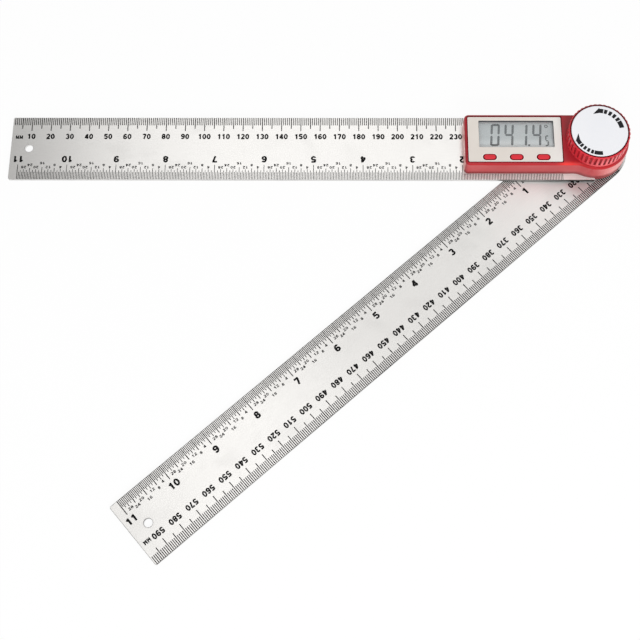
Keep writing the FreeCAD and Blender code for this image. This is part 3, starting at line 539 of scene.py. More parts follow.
@dataclass(frozen=True)
class GroovedPlastic(MouldedPlastic):
    """Moulded plastic with painted shade low in its grooves and a painted sheen on its ribs towards one side.
    """

    # Painted shade low in the grooves, stronger towards one side.
    foot: Colour = linear(96, 6, 14)
    foot_levels: Pair = (16.2 * MM, 22.2 * MM)
    foot_shares: Pair = (1.0, 0.6)
    side_shares: Pair = (0.45, 1.0)
    rim_levels: Pair = (22.3 * MM, 22.8 * MM)
    # Painted sheen on the ribs towards one side.
    rib: Colour = linear(236, 122, 126)
    rib_levels: Pair = (16.0 * MM, 22.8 * MM)
    rib_side: Pair = (-11.0 * MM, 3.0 * MM)
    rib_share: float = 0.65
    groove_radii: Pair = (15.0 * MM, 15.3 * MM)

    def shade(self, tree: Tree, place: Signal, colour: Signal) -> Signal:
        """Returns the colour with a painted sheen down the ribs and painted shade low in the grooves."""
        x, y, z = tree.split(place)
        grooved = tree.length(x, y).spread(1.0, 0.0, *self.groove_radii)
        # Painted shade low in the grooves, stronger towards the painted side.
        foot = grooved * z.spread(*self.foot_shares, *self.foot_levels) * z.spread(1.0, 0.0, *self.rim_levels)
        foot = foot * x.spread(*self.side_shares, *self.rib_side)
        # Painted sheen down the ribs towards the painted side.
        rib_sheen_mask = (1.0 - grooved) * z.spread(self.rib_share, 0.0, *self.rib_levels)
        rib_sheen_mask = rib_sheen_mask * x.spread(0.0, 1.0, *self.rib_side)
        return tree.blend(foot, tree.blend(rib_sheen_mask, colour, self.rib), self.foot)


@dataclass(frozen=True)
class BorderedPlastic(MouldedPlastic):
    """Moulded plastic with a painted highlight along the borders marked on its mesh, and painted light near
    the knob that offsets the red light bouncing off it.
    """

    # Painted highlight along the marked borders.
    bright: Colour = linear(252, 246, 241)
    # Painted light near the knob, against the red light that bounces off it.
    near: Colour = linear(234, 233, 228)
    near_columns: Pair = (-30.0 * MM, -19.0 * MM)
    mark: str = "border"

    def shade(self, tree: Tree, place: Signal, colour: Signal) -> Signal:
        """Returns the colour with painted light near the knob and a painted highlight where the mesh's mark
        is set.
        """
        marked = tree.add("Attribute", output="Fac", attribute_type="GEOMETRY", attribute_name=self.mark)
        # Painted light near the knob and a painted highlight on the marked borders.
        with_bounce_offset = tree.blend(tree.split(place)[0].spread(0.0, 1.0, *self.near_columns), colour, self.near)
        return tree.blend(marked, with_bounce_offset, self.bright)


@dataclass(frozen=True)
class Ink(Finish):
    """Etched or printed ink with slightly uneven cover."""

    base: Colour = linear(22, 22, 23)
    thin: Colour = linear(58, 57, 56)
    thin_share: float = 0.6
    roughness: float = 0.55
    uneven: float = 0.08
    bend: float = 1.2

    def surface(self, tree: Tree, place: Signal) -> Signal:
        """Builds the finish's nodes and returns the shader."""
        skin = SKIN.place(tree, Vector=place, Size=5200.0)
        colour = tree.blend(skin["Mottle"] * self.thin_share, self.base, self.thin)
        dull = skin["Mottle"].spread(self.roughness - self.uneven, self.roughness + self.uneven)
        return tree.shader(colour, dull, tree.bump(skin["Height"], 0.1, 0.01 * MM), IOR=self.bend)


@dataclass(frozen=True)
class ClearPane(Finish):
    """The clear window over the display."""

    tint: Colour = linear(226, 232, 232)
    smudged: Colour = linear(236, 236, 232)
    cover: Pair = (0.05, 0.5)
    smudge_cover: float = 0.02
    roughness: Pair = (0.04, 0.14)

    def surface(self, tree: Tree, place: Signal) -> Signal:
        """Builds the finish's nodes and returns the shader."""
        smudge = SMUDGE.place(tree, Vector=place, Scale=120.0)["Mask"]
        facing = tree.add("LayerWeight", {"Blend": 0.25}, "Facing").spread(*self.cover)
        cover = tree.maths("ADD", facing, smudge * self.smudge_cover, clamp=True)
        colour = tree.blend(smudge, self.tint, self.smudged)
        bump = tree.bump(smudge, 0.02, 0.01 * MM)
        return tree.shader(colour, smudge.spread(*self.roughness), bump, Alpha=cover)


@dataclass(frozen=True)
class DisplayGlass(Finish):
    """The reflective glass of the display, grey-green with a fine polariser grain, with painted light along
    its foot against the shadow of the window's front wall.
    """

    pale: Colour = linear(190, 195, 196)
    deep: Colour = linear(182, 187, 189)
    # Painted light along the foot, where the window's front wall shades the glass.
    foot: Colour = linear(236, 240, 241)
    foot_rows: Pair = (-3.2 * MM, 2.4 * MM)
    foot_share: float = 0.9

    def surface(self, tree: Tree, place: Signal) -> Signal:
        """Builds the finish's nodes and returns the shader."""
        skin = SKIN.place(tree, Vector=place, Size=6500.0)
        body = tree.blend(skin["Mottle"], self.deep, self.pale)
        # Painted light lifts the foot of the glass, which the window's front wall shades.
        foot_light_mask = tree.split(place)[1].spread(self.foot_share, 0.0, *self.foot_rows)
        colour, bump = tree.blend(foot_light_mask, body, self.foot), tree.bump(skin["Height"], 0.05, 0.01 * MM)
        return tree.shader(colour, skin["Mottle"].spread(0.35, 0.5), bump)


@dataclass(frozen=True)
class Laminate(Finish):
    """Circuit board laminate with solder mask over copper tracks."""

    mask: Colour = linear(24, 92, 54)
    track: Colour = linear(44, 122, 70)
    track_share: float = 0.25
    pitch: float = 900.0

    def surface(self, tree: Tree, place: Signal) -> Signal:
        """Builds the finish's nodes and returns the shader."""
        weave = tree.add("TexBrick", {"Vector": place, "Scale": self.pitch, "Mortar Size": 0.03}, "Fac")
        skin = SKIN.place(tree, Vector=place, Size=3000.0)
        body = tree.blend(weave, self.mask, self.track)
        colour = tree.blend(skin["Mottle"] * self.track_share, body, self.track)
        bump = tree.bump(weave + skin["Height"] * 0.2, 0.15, 0.03 * MM)
        return tree.shader(colour, skin["Mottle"].spread(0.3, 0.45), bump)


@dataclass(frozen=True)
class SoftStrip(Finish):
    """Conductive rubber in fine dark and pale layers."""

    pale: Colour = linear(214, 170, 160)
    dark: Colour = linear(52, 48, 48)

    def surface(self, tree: Tree, place: Signal) -> Signal:
        """Builds the finish's nodes and returns the shader."""
        layers = tree.add(
            "TexWave", {"Vector": place, "Scale": 1600.0, "Distortion": 0.2}, "Fac", bands_direction="X"
        )
        smudge = SMUDGE.place(tree, Vector=place, Scale=400.0)["Mask"]
        colour = tree.blend(layers, self.dark, self.pale)
        return tree.shader(colour, smudge.spread(0.6, 0.75), tree.bump(layers, 0.2, 0.02 * MM))


INK = Ink("scale_ink", linear(10, 10, 11), linear(24, 23, 23))
SEGMENT_INK = Ink("segment_ink", linear(100, 104, 106), linear(114, 118, 120), roughness=0.45)
# Dark grey for the window's border, also used as painted shade on the walls of its opening.
DARK_BORDER_AND_WALL_SHADE = Ink("border_ink", linear(78, 78, 81), linear(94, 94, 97), roughness=0.45)
ARROW_INK = Ink("arrow_ink", linear(28, 28, 31), linear(44, 44, 48), roughness=0.4)
# Dark crimson that stands in for shadow in gaps: painted shadow on the ring round the panel, the ring round
# the cap and the key skirts.
PAINTED_SHADOW_LINE = MouldedPlastic(
    "seam_line", linear(98, 6, 16), linear(86, 4, 12), roughness=(0.5, 0.6), bend=1.12, edge_share=0.0
)
# The swing arm's dark edge line and its ring round the pivot are painted shade; the blade's lower edge line
# is painted shadow from -50 mm towards the pivot.
SWING_STEEL = RuleSteel(
    "rule_steel_swing", turn=OPENING, line=linear(112, 111, 110), edge_line=0.4 * MM, worn_share=0.6
)
BLADE_STEEL = RuleSteel("rule_steel", line=linear(222, 221, 220), edge_line=0.2 * MM, under_from=-50.0 * MM)
WHITE_CAP = MouldedPlastic(
    "white_cap",
    linear(239, 239, 242),
    linear(235, 236, 240),
    linear(246, 246, 248),
    roughness=(0.3, 0.42),
    relief=0.03,
    edge_radius=0.05 * MM,
)
BEZEL_WHITE = BorderedPlastic(
    "bezel_white",
    linear(224, 217, 209),
    linear(219, 211, 203),
    linear(248, 244, 240),
    roughness=(0.4, 0.52),
    relief=0.05,
    edge_radius=0.05 * MM,
)
RED_KNOB = GroovedPlastic(
    "red_knob",
    linear(206, 50, 60),
    linear(194, 42, 52),
    roughness=(0.16, 0.22),
    bend=1.36,
    edge_radius=0.1 * MM,
    edge_share=0.2,
)
BLACK_PLASTIC = MouldedPlastic(
    "black_plastic",
    linear(38, 38, 40),
    linear(28, 28, 30),
    linear(92, 92, 94),
    roughness=(0.42, 0.58),
    relief=0.15,
)
SLOT_FINISHES: dict[str, Finish] = {"blade_steel": BLADE_STEEL} | {
    finish.name: finish
    for finish in (
        WHITE_CAP,
        BEZEL_WHITE,
        RED_KNOB,
        BLACK_PLASTIC,
        ShellPlastic("red_shell", linear(170, 34, 44), linear(158, 30, 40), bend=1.42),
        MouldedPlastic("red_keys", linear(216, 34, 50), linear(204, 28, 44), roughness=(0.3, 0.4)),
        MouldedPlastic("chip_black", linear(34, 34, 36), linear(26, 26, 28), linear(70, 70, 72)),
        MouldedPlastic(
            "white_acetal", linear(228, 227, 222), linear(214, 213, 208), linear(240, 240, 238), (0.4, 0.55)
        ),
        MouldedPlastic(
            "flex_film", linear(196, 128, 42), linear(170, 104, 30), linear(214, 160, 84), skin=4200.0
        ),
        ClearPane("clear_window"),
        DisplayGlass("display_glass"),
        SoftStrip("soft_strip"),
        Laminate("board_laminate"),
        TurnedMetal("post_steel", linear(198, 198, 200), linear(150, 150, 154)),
        TurnedMetal("bright_metal", linear(218, 218, 220), linear(190, 190, 192)),
        TurnedMetal("cell_steel", linear(214, 213, 210), linear(182, 182, 180), marks=1800.0),
        TurnedMetal("screw_steel", linear(196, 196, 198), linear(140, 141, 145)),
        TurnedMetal("brass_parts", linear(214, 178, 104), linear(176, 138, 70)),
    )
}


# Pieces


def write_out(name: str, mesh: Mesh) -> bpy.types.Mesh:
    """Writes a bmesh out as mesh data, frees it and returns the data."""
    data = bpy.data.meshes.new(name)
    mesh.to_mesh(data)
    mesh.free()
    return data


def link_object(name: str, data: bpy.types.ID) -> bpy.types.Object:
    """Puts a mesh, a lamp or a camera into the scene and returns its object."""
    thing = bpy.data.objects.new(name, data)
    bpy.context.scene.collection.objects.link(thing)
    return thing


@dataclass
class Piece:
    """One mesh of the scene, made from a bmesh and tied to a body."""

    name: str
    body: Body
    finish: Finish
    slot: Optional[str] = None
    replaces: tuple[str, ...] = ()
    smooth: bool = False

    def finish_mesh(self, mesh: Mesh) -> bpy.types.Object:
        """Writes the bmesh out as an object, dresses it and ties it to its body.

        Args:
            mesh: The bmesh, in millimetres and in the row's frame. It is freed.

        Returns:
            The new object.
        """
        bmesh.ops.transform(mesh, matrix=Matrix.Scale(MM, 4), verts=mesh.verts)
        data = write_out(self.name, mesh)
        thing = link_object(self.name, data)
        for face in data.polygons:
            face.use_smooth = self.smooth
        data.materials.append(self.finish.build())
        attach(thing, self.body.value)
        if self.replaces:
            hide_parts(*self.replaces)
        LOG.info("%s: %d faces on %s", self.name, len(data.polygons), self.body.value)
        return thing


def stand_in(mesh: Mesh, name: str, body: Body, slot: str, node: str, sharp_from: float = 35.0) -> None:
    """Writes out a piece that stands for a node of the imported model.

    Args:
        mesh: The piece, in millimetres. It is freed.
        name: The piece's name.
        body: The body that it rides on.
        slot: The material slot that it takes its finish from.
        node: The node that it stands for.
        sharp_from: Least angle of an edge that stays sharp, in degrees.
    """
    thing = Piece(name, body, SLOT_FINISHES[slot], slot, (node,), smooth=True).finish_mesh(mesh)
    thing.data.set_sharp_from_angle(angle=math.radians(sharp_from))


def add_plate(mesh: Mesh, middle: Pair, size: Pair, low: float, relief: float) -> list:
    """Adds a thin plate to a bmesh.

    Args:
        mesh: The bmesh to add to, in millimetres.
        middle: Middle of the plate along X and Y.
        size: Size along X and Y.
        low: Level of its underside.
        relief: Its height.

    Returns:
        The plate's vertices.
    """
    high = low + relief
    place = Matrix.Translation((*middle, (low + high) / 2)) @ Matrix.Diagonal((*size, high - low, 1.0))
    return bmesh.ops.create_cube(mesh, size=1.0, matrix=place)["verts"]


def add_chain(mesh: Mesh, points: Iterable[Iterable[float]], closed: bool = False) -> list:
    """Adds a chain of edges through points.

    Args:
        mesh: The bmesh to add to.
        points: The places that the chain goes through.
        closed: True to join the last point to the first.

    Returns:
        The chain's vertices and edges.
    """
    verts = [mesh.verts.new(point) for point in points]
    pairs = zip([verts[-1], *verts], verts) if closed else zip(verts, verts[1:])
    return [*verts, *[mesh.edges.new(pair) for pair in pairs]]


def spin(mesh: Mesh, geom: list, angle: float, steps: int, centre: Pair = (0.0, 0.0), **options) -> None:
    """Spins geometry about an upright axis.

    Args:
        mesh: The bmesh that holds the geometry.
        geom: What to spin.
        angle: How far, in radians.
        steps: The number of steps.
        centre: Where the axis stands.
        options: Other options of the spin.
    """
    place, axis = (*centre, 0.0), (0.0, 0.0, 1.0)
    bmesh.ops.spin(mesh, geom=geom, cent=place, axis=axis, angle=angle, steps=steps, **options)


def bevel(mesh: Mesh, geom: list, size: float, segments: int, affect: str = "EDGES", **options) -> list:
    """Bevels edges or corners evenly.

    Args:
        mesh: The bmesh that holds the geometry.
        geom: The edges or corners.
        size: How far the bevel reaches.
        segments: The number of strips across it.
        affect: EDGES or VERTICES.
        options: Other options of the bevel.

    Returns:
        The bevel's vertices.
    """
    options = {"offset_type": "OFFSET", "profile": 0.5, "material": -1, **options}
    return bmesh.ops.bevel(mesh, geom=geom, offset=size, segments=segments, affect=affect, **options)["verts"]


@dataclass(frozen=True)
class Bar:
    """A straight stroke between two points, in shares of a figure's height."""

    start: Pair
    end: Pair


@dataclass(frozen=True)
class Arc:
    """A curved stroke about a centre, in shares of a figure's height and in degrees."""

    centre: Pair
    radii: Pair
    start: float = 0.0
    sweep: float = 360.0


FIGURES: dict[str, tuple[Bar | Arc, ...]] = {
    "0": (Arc((0.0, 0.5), (0.235, 0.41)),),
    "1": (Bar((0.06, 0.0), (0.06, 1.0)), Bar((0.08, 0.9), (-0.2, 0.7))),
    "2": (
        Arc((0.0, 0.68), (0.225, 0.23), 165.0, -205.0),
        Bar((0.2, 0.57), (-0.23, 0.11)),
        Bar((-0.32, 0.09), (0.31, 0.09)),
    ),
    "3": (Arc((0.0, 0.7), (0.21, 0.21), 160.0, -250.0), Arc((0.0, 0.3), (0.23, 0.21), 90.0, -250.0)),
    "4": (Bar((0.1, 0.96), (-0.27, 0.3)), Bar((-0.33, 0.27), (0.33, 0.27)), Bar((0.13, 0.0), (0.13, 1.0))),
    "5": (
        Bar((-0.2, 0.91), (0.28, 0.91)),
        Bar((-0.16, 0.98), (-0.23, 0.48)),
        Arc((0.0, 0.33), (0.235, 0.24), 135.0, -295.0),
    ),
    "6": (Arc((0.0, 0.305), (0.235, 0.215)), Arc((0.03, 0.5), (0.265, 0.41), 215.0, -175.0)),
    "7": (Bar((-0.3, 0.91), (0.3, 0.91)), Bar((0.24, 0.93), (-0.06, 0.0))),
    "8": (Arc((0.0, 0.71), (0.2, 0.2)), Arc((0.0, 0.295), (0.235, 0.205))),
    "9": (Arc((0.0, 0.695), (0.235, 0.215)), Arc((-0.03, 0.5), (0.265, 0.41), 35.0, -175.0)),
    "M": (
        Bar((-0.36, 0.0), (-0.36, 1.0)),
        Bar((0.36, 0.0), (0.36, 1.0)),
        Bar((-0.36, 0.98), (0.0, 0.1)),
        Bar((0.36, 0.98), (0.0, 0.1)),
    ),
}


@dataclass
class Lettering:
    """Writes numbers as thin solid strokes."""

    weight: float = 0.265
    arc_steps: int = 12
    advance: float = 0.78
    stretch: float = 1.0
    relief: float = 0.02
    stagger: float = 0.04
    made: dict[str, bpy.types.Mesh] = field(default_factory=dict)

    def bar(self, mesh: Mesh, stroke: Bar, top: float) -> None:
        """Adds a straight stroke one unit deep."""
        start, end = Vector(stroke.start), Vector(stroke.end)
        way, middle = end - start, (start + end) / 2
        place = (
            Matrix.Translation((middle.x, middle.y, top / 2))
            @ Matrix.Rotation(math.atan2(way.y, way.x), 4, "Z")
            @ Matrix.Diagonal((way.length, self.weight, top, 1.0))
        )
        bmesh.ops.create_cube(mesh, size=1.0, matrix=place)

    def arc(self, mesh: Mesh, stroke: Arc, top: float) -> None:
        """Adds a curved stroke one unit deep, as a spun loop that is then made oval.

        Args:
            mesh: The bmesh to add to.
            stroke: The stroke.
            top: Level of its top.
        """
        piece = bmesh.new()
        whole = abs(stroke.sweep) >= 360.0
        turn = Matrix.Rotation(math.radians(stroke.start), 4, "Z")
        inner, outer = 1.0, 2.0
        corners = ((inner, 0.0), (outer, 0.0), (outer, top), (inner, top))
        points = [turn @ Vector((radius, 0.0, level)) for radius, level in corners]
        loop = add_chain(piece, points, closed=True)
        steps = max(3, round(self.arc_steps * abs(stroke.sweep) / 360.0))
        spin(piece, loop, math.radians(stroke.sweep), steps, use_merge=whole)
        if not whole:
            bmesh.ops.holes_fill(piece, edges=piece.edges, sides=4)
        for radius, reach in ((inner, -self.weight / 2), (outer, self.weight / 2)):
            ring = [v for v in piece.verts if abs(v.co.xy.length - radius) < 0.5]
            size = ((stroke.radii[0] + reach) / radius, (stroke.radii[1] + reach) / radius, 1.0)
            bmesh.ops.scale(piece, vec=size, verts=ring)
        bmesh.ops.translate(piece, vec=(*stroke.centre, 0.0), verts=piece.verts)
        bmesh.ops.recalc_face_normals(piece, faces=piece.faces)
        data = write_out("stroke", piece)
        mesh.from_mesh(data)
        bpy.data.meshes.remove(data)

    def figure(self, mark: str) -> bpy.types.Mesh:
        """Returns the mesh of one figure, made once."""
        if mark not in self.made:
            mesh = bmesh.new()
            for index, stroke in enumerate(FIGURES[mark]):
                add = self.bar if isinstance(stroke, Bar) else self.arc
                add(mesh, stroke, 1.0 + self.stagger * index)
            self.made[mark] = write_out("figure_" + mark, mesh)
        return self.made[mark]

    def write(self, mesh: Mesh, words: str, place: Place, height: float, turn: float) -> None:
        """Adds figures to a bmesh, centred on a point.

        Args:
            mesh: The bmesh to add to, in millimetres.
            words: What to write.
            place: Middle of the words, on the surface that they stand on.
            height: Height of a figure.
            turn: Turn about Z, in radians.
        """
        advance = self.advance * height * self.stretch
        for index, mark in enumerate(words):
            along = (index - (len(words) - 1) / 2) * advance
            matrix = (
                Matrix.Translation(place)
                @ Matrix.Rotation(turn, 4, "Z")
                @ Matrix.Translation((along, -height / 2, 0.0))
                @ Matrix.Diagonal((height * self.stretch, height, self.relief, 1.0))
            )
            held = len(mesh.verts)
            mesh.from_mesh(self.figure(mark))
            mesh.verts.ensure_lookup_table()
            bmesh.ops.transform(mesh, matrix=matrix, verts=mesh.verts[held:])


@dataclass
class RuleScales:
    """The two scales of one arm, and their numbers. All sizes are in millimetres."""

    body: Body
    level: float
    turn: float
    millimetre_side: Side
    first_shown: int
    last_shown: int
    covered_from: float
    covered_length: float
    half_width: float = 17.6
    arm_length: int = 300
    relief: float = 0.02
    fine_width: float = 0.4
    strong_width: float = 0.46
    hinge_from: float = 0.0
    hinge_width: float = 0.58
    past_pivot: int = 0
    inch_width: float = 0.38
    inch_strong: float = 0.46
    millimetre_ticks: tuple[float, float, float] = (4.3, 6.3, 7.6)
    millimetre_height: float = 2.9
    millimetre_row: float = 10.8
    inch_zero: float = 16.2
    inch: float = 25.4
    inch_parts: int = 32
    inch_count: int = 11
    inch_ticks: tuple[Pair, ...] = ((32, 8.2), (16, 6.9), (8, 6.25), (4, 5.7), (2, 5.1), (1, 4.1))
    inch_height: float = 3.5
    inch_row: float = 11.4
    small_height: float = 1.42
    small_rows: dict[int, float] = field(default_factory=lambda: {16: 9.1, 8: 8.05, 24: 8.05})
    small_row: float = 6.8
    unit_height: float = 2.05
    unit_place: float = 296.2
    clear_radius: float = 17.0
    plain: Lettering = field(default_factory=Lettering)
    unit: Lettering = field(default_factory=lambda: Lettering(advance=1.15, stretch=0.85))
    large: Lettering = field(default_factory=lambda: Lettering(stretch=1.1))
    small: Lettering = field(default_factory=lambda: Lettering(weight=0.22, arc_steps=8, stretch=1.3))

    def edge_y(self, side: Side, distance: float) -> float:
        """Returns the Y of a place at a distance from one long edge."""
        return side.value * (self.half_width - distance)

    def tick(self, mesh: Mesh, side: Side, x: float, length: float, width: float) -> None:
        """Adds one tick that starts at the arm's edge, shorter where another piece lies over the arm.

        Args:
            mesh: The bmesh to add to.
            side: The edge that the tick starts at.
            x: Its place along the arm.
            length: Its length.
            width: Its width.
        """
        length = min(length, self.covered_length) if x > self.covered_from else length
        add_plate(mesh, (x, self.edge_y(side, length / 2)), (width, length), self.level, self.relief)

    def number(
        self, mesh: Mesh, letters: Lettering, words: str, x: float, side: Side, y: float, height: float
    ) -> None:
        """Writes a number that stands towards one edge.

        Args:
            mesh: The bmesh to add to.
            letters: The lettering.
            words: What to write.
            x: Its place along the arm.
            side: The edge that it stands towards.
            y: Its place across the arm.
            height: Its height.
        """
        letters.write(mesh, words, (x, y, self.level), height, 0.0 if side is Side.UPPER else math.pi)

    def close(self, mesh: Mesh, name: str) -> None:
        """Turns the finished marks, which lie along -X, to the arm's direction and writes them out."""
        bmesh.ops.transform(mesh, matrix=Matrix.Rotation(self.turn, 4, "Z"), verts=mesh.verts)
        Piece(self.body.value + name, self.body, INK).finish_mesh(mesh)

    def build(self) -> None:
        """Builds both scales and their numbers."""
        self.millimetres(self.millimetre_side)
        self.inches(Side(-self.millimetre_side.value))

    def shown(self, x: float, y: float) -> bool:
        """Tells whether a number at this place is clear of the head and the pivot."""
        return math.hypot(x, y) > self.clear_radius

    def millimetres(self, side: Side) -> None:
        """Builds the millimetre scale along one edge."""
        fine, fifth, tenth = self.millimetre_ticks
        marks, numbers = bmesh.new(), bmesh.new()
        for step in range(1, self.arm_length + self.past_pivot):
            x = step - self.arm_length
            length = tenth if step % 10 == 0 else fifth if step % 5 == 0 else fine
            width = self.strong_width if step % 5 == 0 else self.fine_width
            self.tick(marks, side, x, length, self.hinge_width if x > self.hinge_from else width)
        self.close(marks, "_millimetre_ticks")
        row = self.edge_y(side, self.millimetre_row)
        for value in range(self.first_shown, self.last_shown + 1, 10):
            x = -abs(value - self.arm_length)
            if self.shown(x, row):
                self.number(numbers, self.plain, str(value), x, side, row, self.millimetre_height)
        row -= side.value * (self.millimetre_height - self.unit_height) / 2
        self.number(numbers, self.unit, "MM", -self.unit_place, side, row, self.unit_height)
        self.close(numbers, "_millimetre_numbers")

    def inches(self, side: Side) -> None:
        """Builds the inch scale in thirty-seconds along one edge."""
        marks, numbers, fractions = bmesh.new(), bmesh.new(), bmesh.new()
        for step in range(self.inch_parts * self.inch_count + 1):
            x = -self.inch_zero - step * self.inch / self.inch_parts
            length = next(size for every, size in self.inch_ticks if step % every == 0)
            self.tick(marks, side, x, length, self.inch_strong if step % 8 == 0 else self.inch_width)
            whole, part = divmod(step, self.inch_parts)
            if step == 0 or step % 4 or (x > self.covered_from and self.body is Body.DISPLAY_ARM):
                continue
            row = self.edge_y(side, self.small_rows.get(part, self.small_row) if part else self.inch_row)
            if not part:
                self.number(numbers, self.large, str(whole), x, side, row, self.inch_height)
            elif self.shown(x, row):
                self.number(fractions, self.small, str(part), x, side, row, self.small_height)
        self.close(marks, "_inch_ticks")
        self.close(numbers, "_inch_numbers")
        self.close(fractions, "_fraction_numbers")


@dataclass
class DisplayFigures:
    """The figures that the display shows. All sizes are in millimetres."""

    level: float = 12.0
    relief: float = 0.03
    reading: str = "041.4"
    bottom: float = -2.78
    height: float = 12.5
    digit_width: float = 4.7
    stroke: float = 1.15
    gap: float = 0.25
    point: float = 0.42
    shorter: Pair = (0.35, 0.2)
    lean: float = 0.068
    digit_lefts: tuple[float, ...] = (-53.55, -46.5, -39.5, -32.4)
    dot_place: Pair = (-33.75, 0.55)
    dot_size: Pair = (1.0, 1.0)
    ring_place: Pair = (-24.75, 8.41)
    ring_radii: Pair = (0.5, 0.95)
    ring_steps: int = 20
    side_letter: Pair = (-25.8, -2.75)
    side_size: Pair = (2.0, 6.1)
    side_stroke: float = 0.72
    segments: dict[str, str] = field(
        default_factory=lambda: {"0": "abcdef", "1": "bc", "4": "bcfg", "5": "acdfg"}
    )

    def bar(self, mesh: Mesh, place: Pair, length: float, stroke: float, upright: bool) -> None:
        """Adds one bar with pointed ends.

        Args:
            mesh: The bmesh to add to.
            place: Middle of the bar.
            length: Its length.
            stroke: Its width.
            upright: True for a bar along Y.
        """
        size = (stroke, length) if upright else (length, stroke)
        verts = add_plate(mesh, place, size, self.level, self.relief)
        own = [edge for edge in mesh.edges if edge.verts[0] in verts]
        corners = [edge for edge in own if abs(edge.verts[0].co.z - edge.verts[1].co.z) > 0.5 * self.relief]
        bevel(mesh, corners, stroke * self.point, 1)

    def figure(self, mesh: Mesh, lit: str, place: Pair, size: Pair, stroke: float) -> None:
        """Adds one seven-bar figure.

        Args:
            mesh: The bmesh to add to.
            lit: The bars that show, a to g.
            place: Left end of the figure's foot.
            size: Its width and height.
            stroke: Width of a bar.
        """
        width, height = size
        half = height / 2
        level_length = width - 2 * self.gap - stroke * self.shorter[0]
        upright_length = half - 2 * self.gap - stroke * self.shorter[1]
        left, middle, right = stroke / 2, width / 2, stroke / 2 + (width - stroke)
        places = {
            "a": (middle, height - stroke / 2),
            "g": (middle, half),
            "d": (middle, stroke / 2),
            "f": (left, half * 1.5),
            "e": (left, half * 0.5),
            "b": (right, half * 1.5),
            "c": (right, half * 0.5),
        }
        for name in lit:
            x, y = places[name]
            upright = name not in "adg"
            length = upright_length if upright else level_length
            self.bar(mesh, (place[0] + x, place[1] + y), length, stroke, upright)

    def build(self) -> None:
        """Builds the reading, the small letter and the degree ring."""
        mesh = bmesh.new()
        size = (self.digit_width, self.height)
        for left, digit in zip(self.digit_lefts, self.reading.replace(".", "")):
            self.figure(mesh, self.segments[digit], (left, self.bottom), size, self.stroke)
        x, above = self.dot_place
        add_plate(mesh, (x, self.bottom + above), self.dot_size, self.level, self.relief)
        self.figure(mesh, self.segments["5"], self.side_letter, self.side_size, self.side_stroke)
        self.lean_over(mesh)
        x, y = self.ring_place
        top = self.level + self.relief
        band = add_chain(mesh, [(x + radius, y, top) for radius in self.ring_radii])
        spin(mesh, band, math.tau, self.ring_steps, self.ring_place, use_merge=True)
        Piece("display_figures", Body.DISPLAY_ARM, SEGMENT_INK, "display_glass").finish_mesh(mesh)

    def lean_over(self, mesh: Mesh) -> None:
        """Leans the figures to the right about their foot."""
        lean = Matrix.Identity(4)
        lean[0][1] = self.lean
        foot = Matrix.Translation((0.0, self.bottom, 0.0))
        bmesh.ops.transform(mesh, matrix=foot @ lean @ foot.inverted(), verts=mesh.verts)


@dataclass(frozen=True)
class Arrow:
    """One curved arrow on the cap: its tail and tip in degrees, and the radii of its band, tip and barb."""

    tail: float
    tip: float
    inner: float
    outer: float
    tip_radius: float
    barb_radius: float


@dataclass
class CapArrows:
    """The two turning arrows on the knob's cap. All sizes are in millimetres."""

    level: float = 23.6
    relief: float = 0.02
    arrows: tuple[Arrow, ...] = (
        Arrow(tail=9.0, tip=106.0, inner=10.05, outer=12.4, tip_radius=9.9, barb_radius=12.95),
        Arrow(tail=273.5, tip=187.0, inner=11.2, outer=13.3, tip_radius=10.8, barb_radius=13.8),
    )
    block_sweep: float = 19.5
    neck_sweep: float = 28.5
    head_sweep: float = 18.5
    dash_count: int = 4
    dash_share: float = 0.66
    step_sweep: float = 3.0

    def sweep(self, mesh: Mesh, arrow: Arrow, start: float, end: float) -> None:
        """Adds a curved bar of an arrow's band.

        Args:
            mesh: The bmesh to add to.
            arrow: The arrow.
            start: First angle, in degrees.
            end: Last angle, in degrees.
        """
        chain = add_chain(mesh, [self.place(radius, start) for radius in (arrow.inner, arrow.outer)])
        spin(mesh, chain, math.radians(end - start), max(2, round(abs(end - start) / self.step_sweep)))

    def place(self, radius: float, angle: float) -> Vector:
        """Returns a point on the cap's face by its radius and angle."""
        return Matrix.Rotation(math.radians(angle), 4, "Z") @ Vector((radius, 0.0, self.level))

    def build(self) -> None:
        """Builds both arrows: a tail block, a row of dashes, a neck and a barbed head."""
        mesh = bmesh.new()
        for arrow in self.arrows:
            way = 1.0 if arrow.tip > arrow.tail else -1.0
            barb = arrow.tip - way * self.head_sweep
            neck = arrow.tip - way * self.neck_sweep
            first = arrow.tail + way * self.block_sweep
            self.sweep(mesh, arrow, arrow.tail, first)
            self.sweep(mesh, arrow, neck, barb)
            pitch = (neck - first) / self.dash_count
            for index in range(self.dash_count):
                start = first + (index + (1.0 - self.dash_share) / 2) * pitch
                self.sweep(mesh, arrow, start, start + self.dash_share * pitch)
            corners = ((arrow.inner, barb), (arrow.tip_radius, arrow.tip), (arrow.barb_radius, barb))
            tip = [mesh.verts.new(self.place(*corner)) for corner in corners]
            bmesh.ops.contextual_create(mesh, geom=tip)
        mesh.normal_update()
        bmesh.ops.reverse_faces(mesh, faces=[face for face in mesh.faces if face.normal.z > 0.0])
        bmesh.ops.solidify(mesh, geom=mesh.faces, thickness=self.relief)
        bmesh.ops.recalc_face_normals(mesh, faces=mesh.faces)
        Piece("cap_arrows", Body.CLAMP_KNOB, ARROW_INK, "white_cap").finish_mesh(mesh)


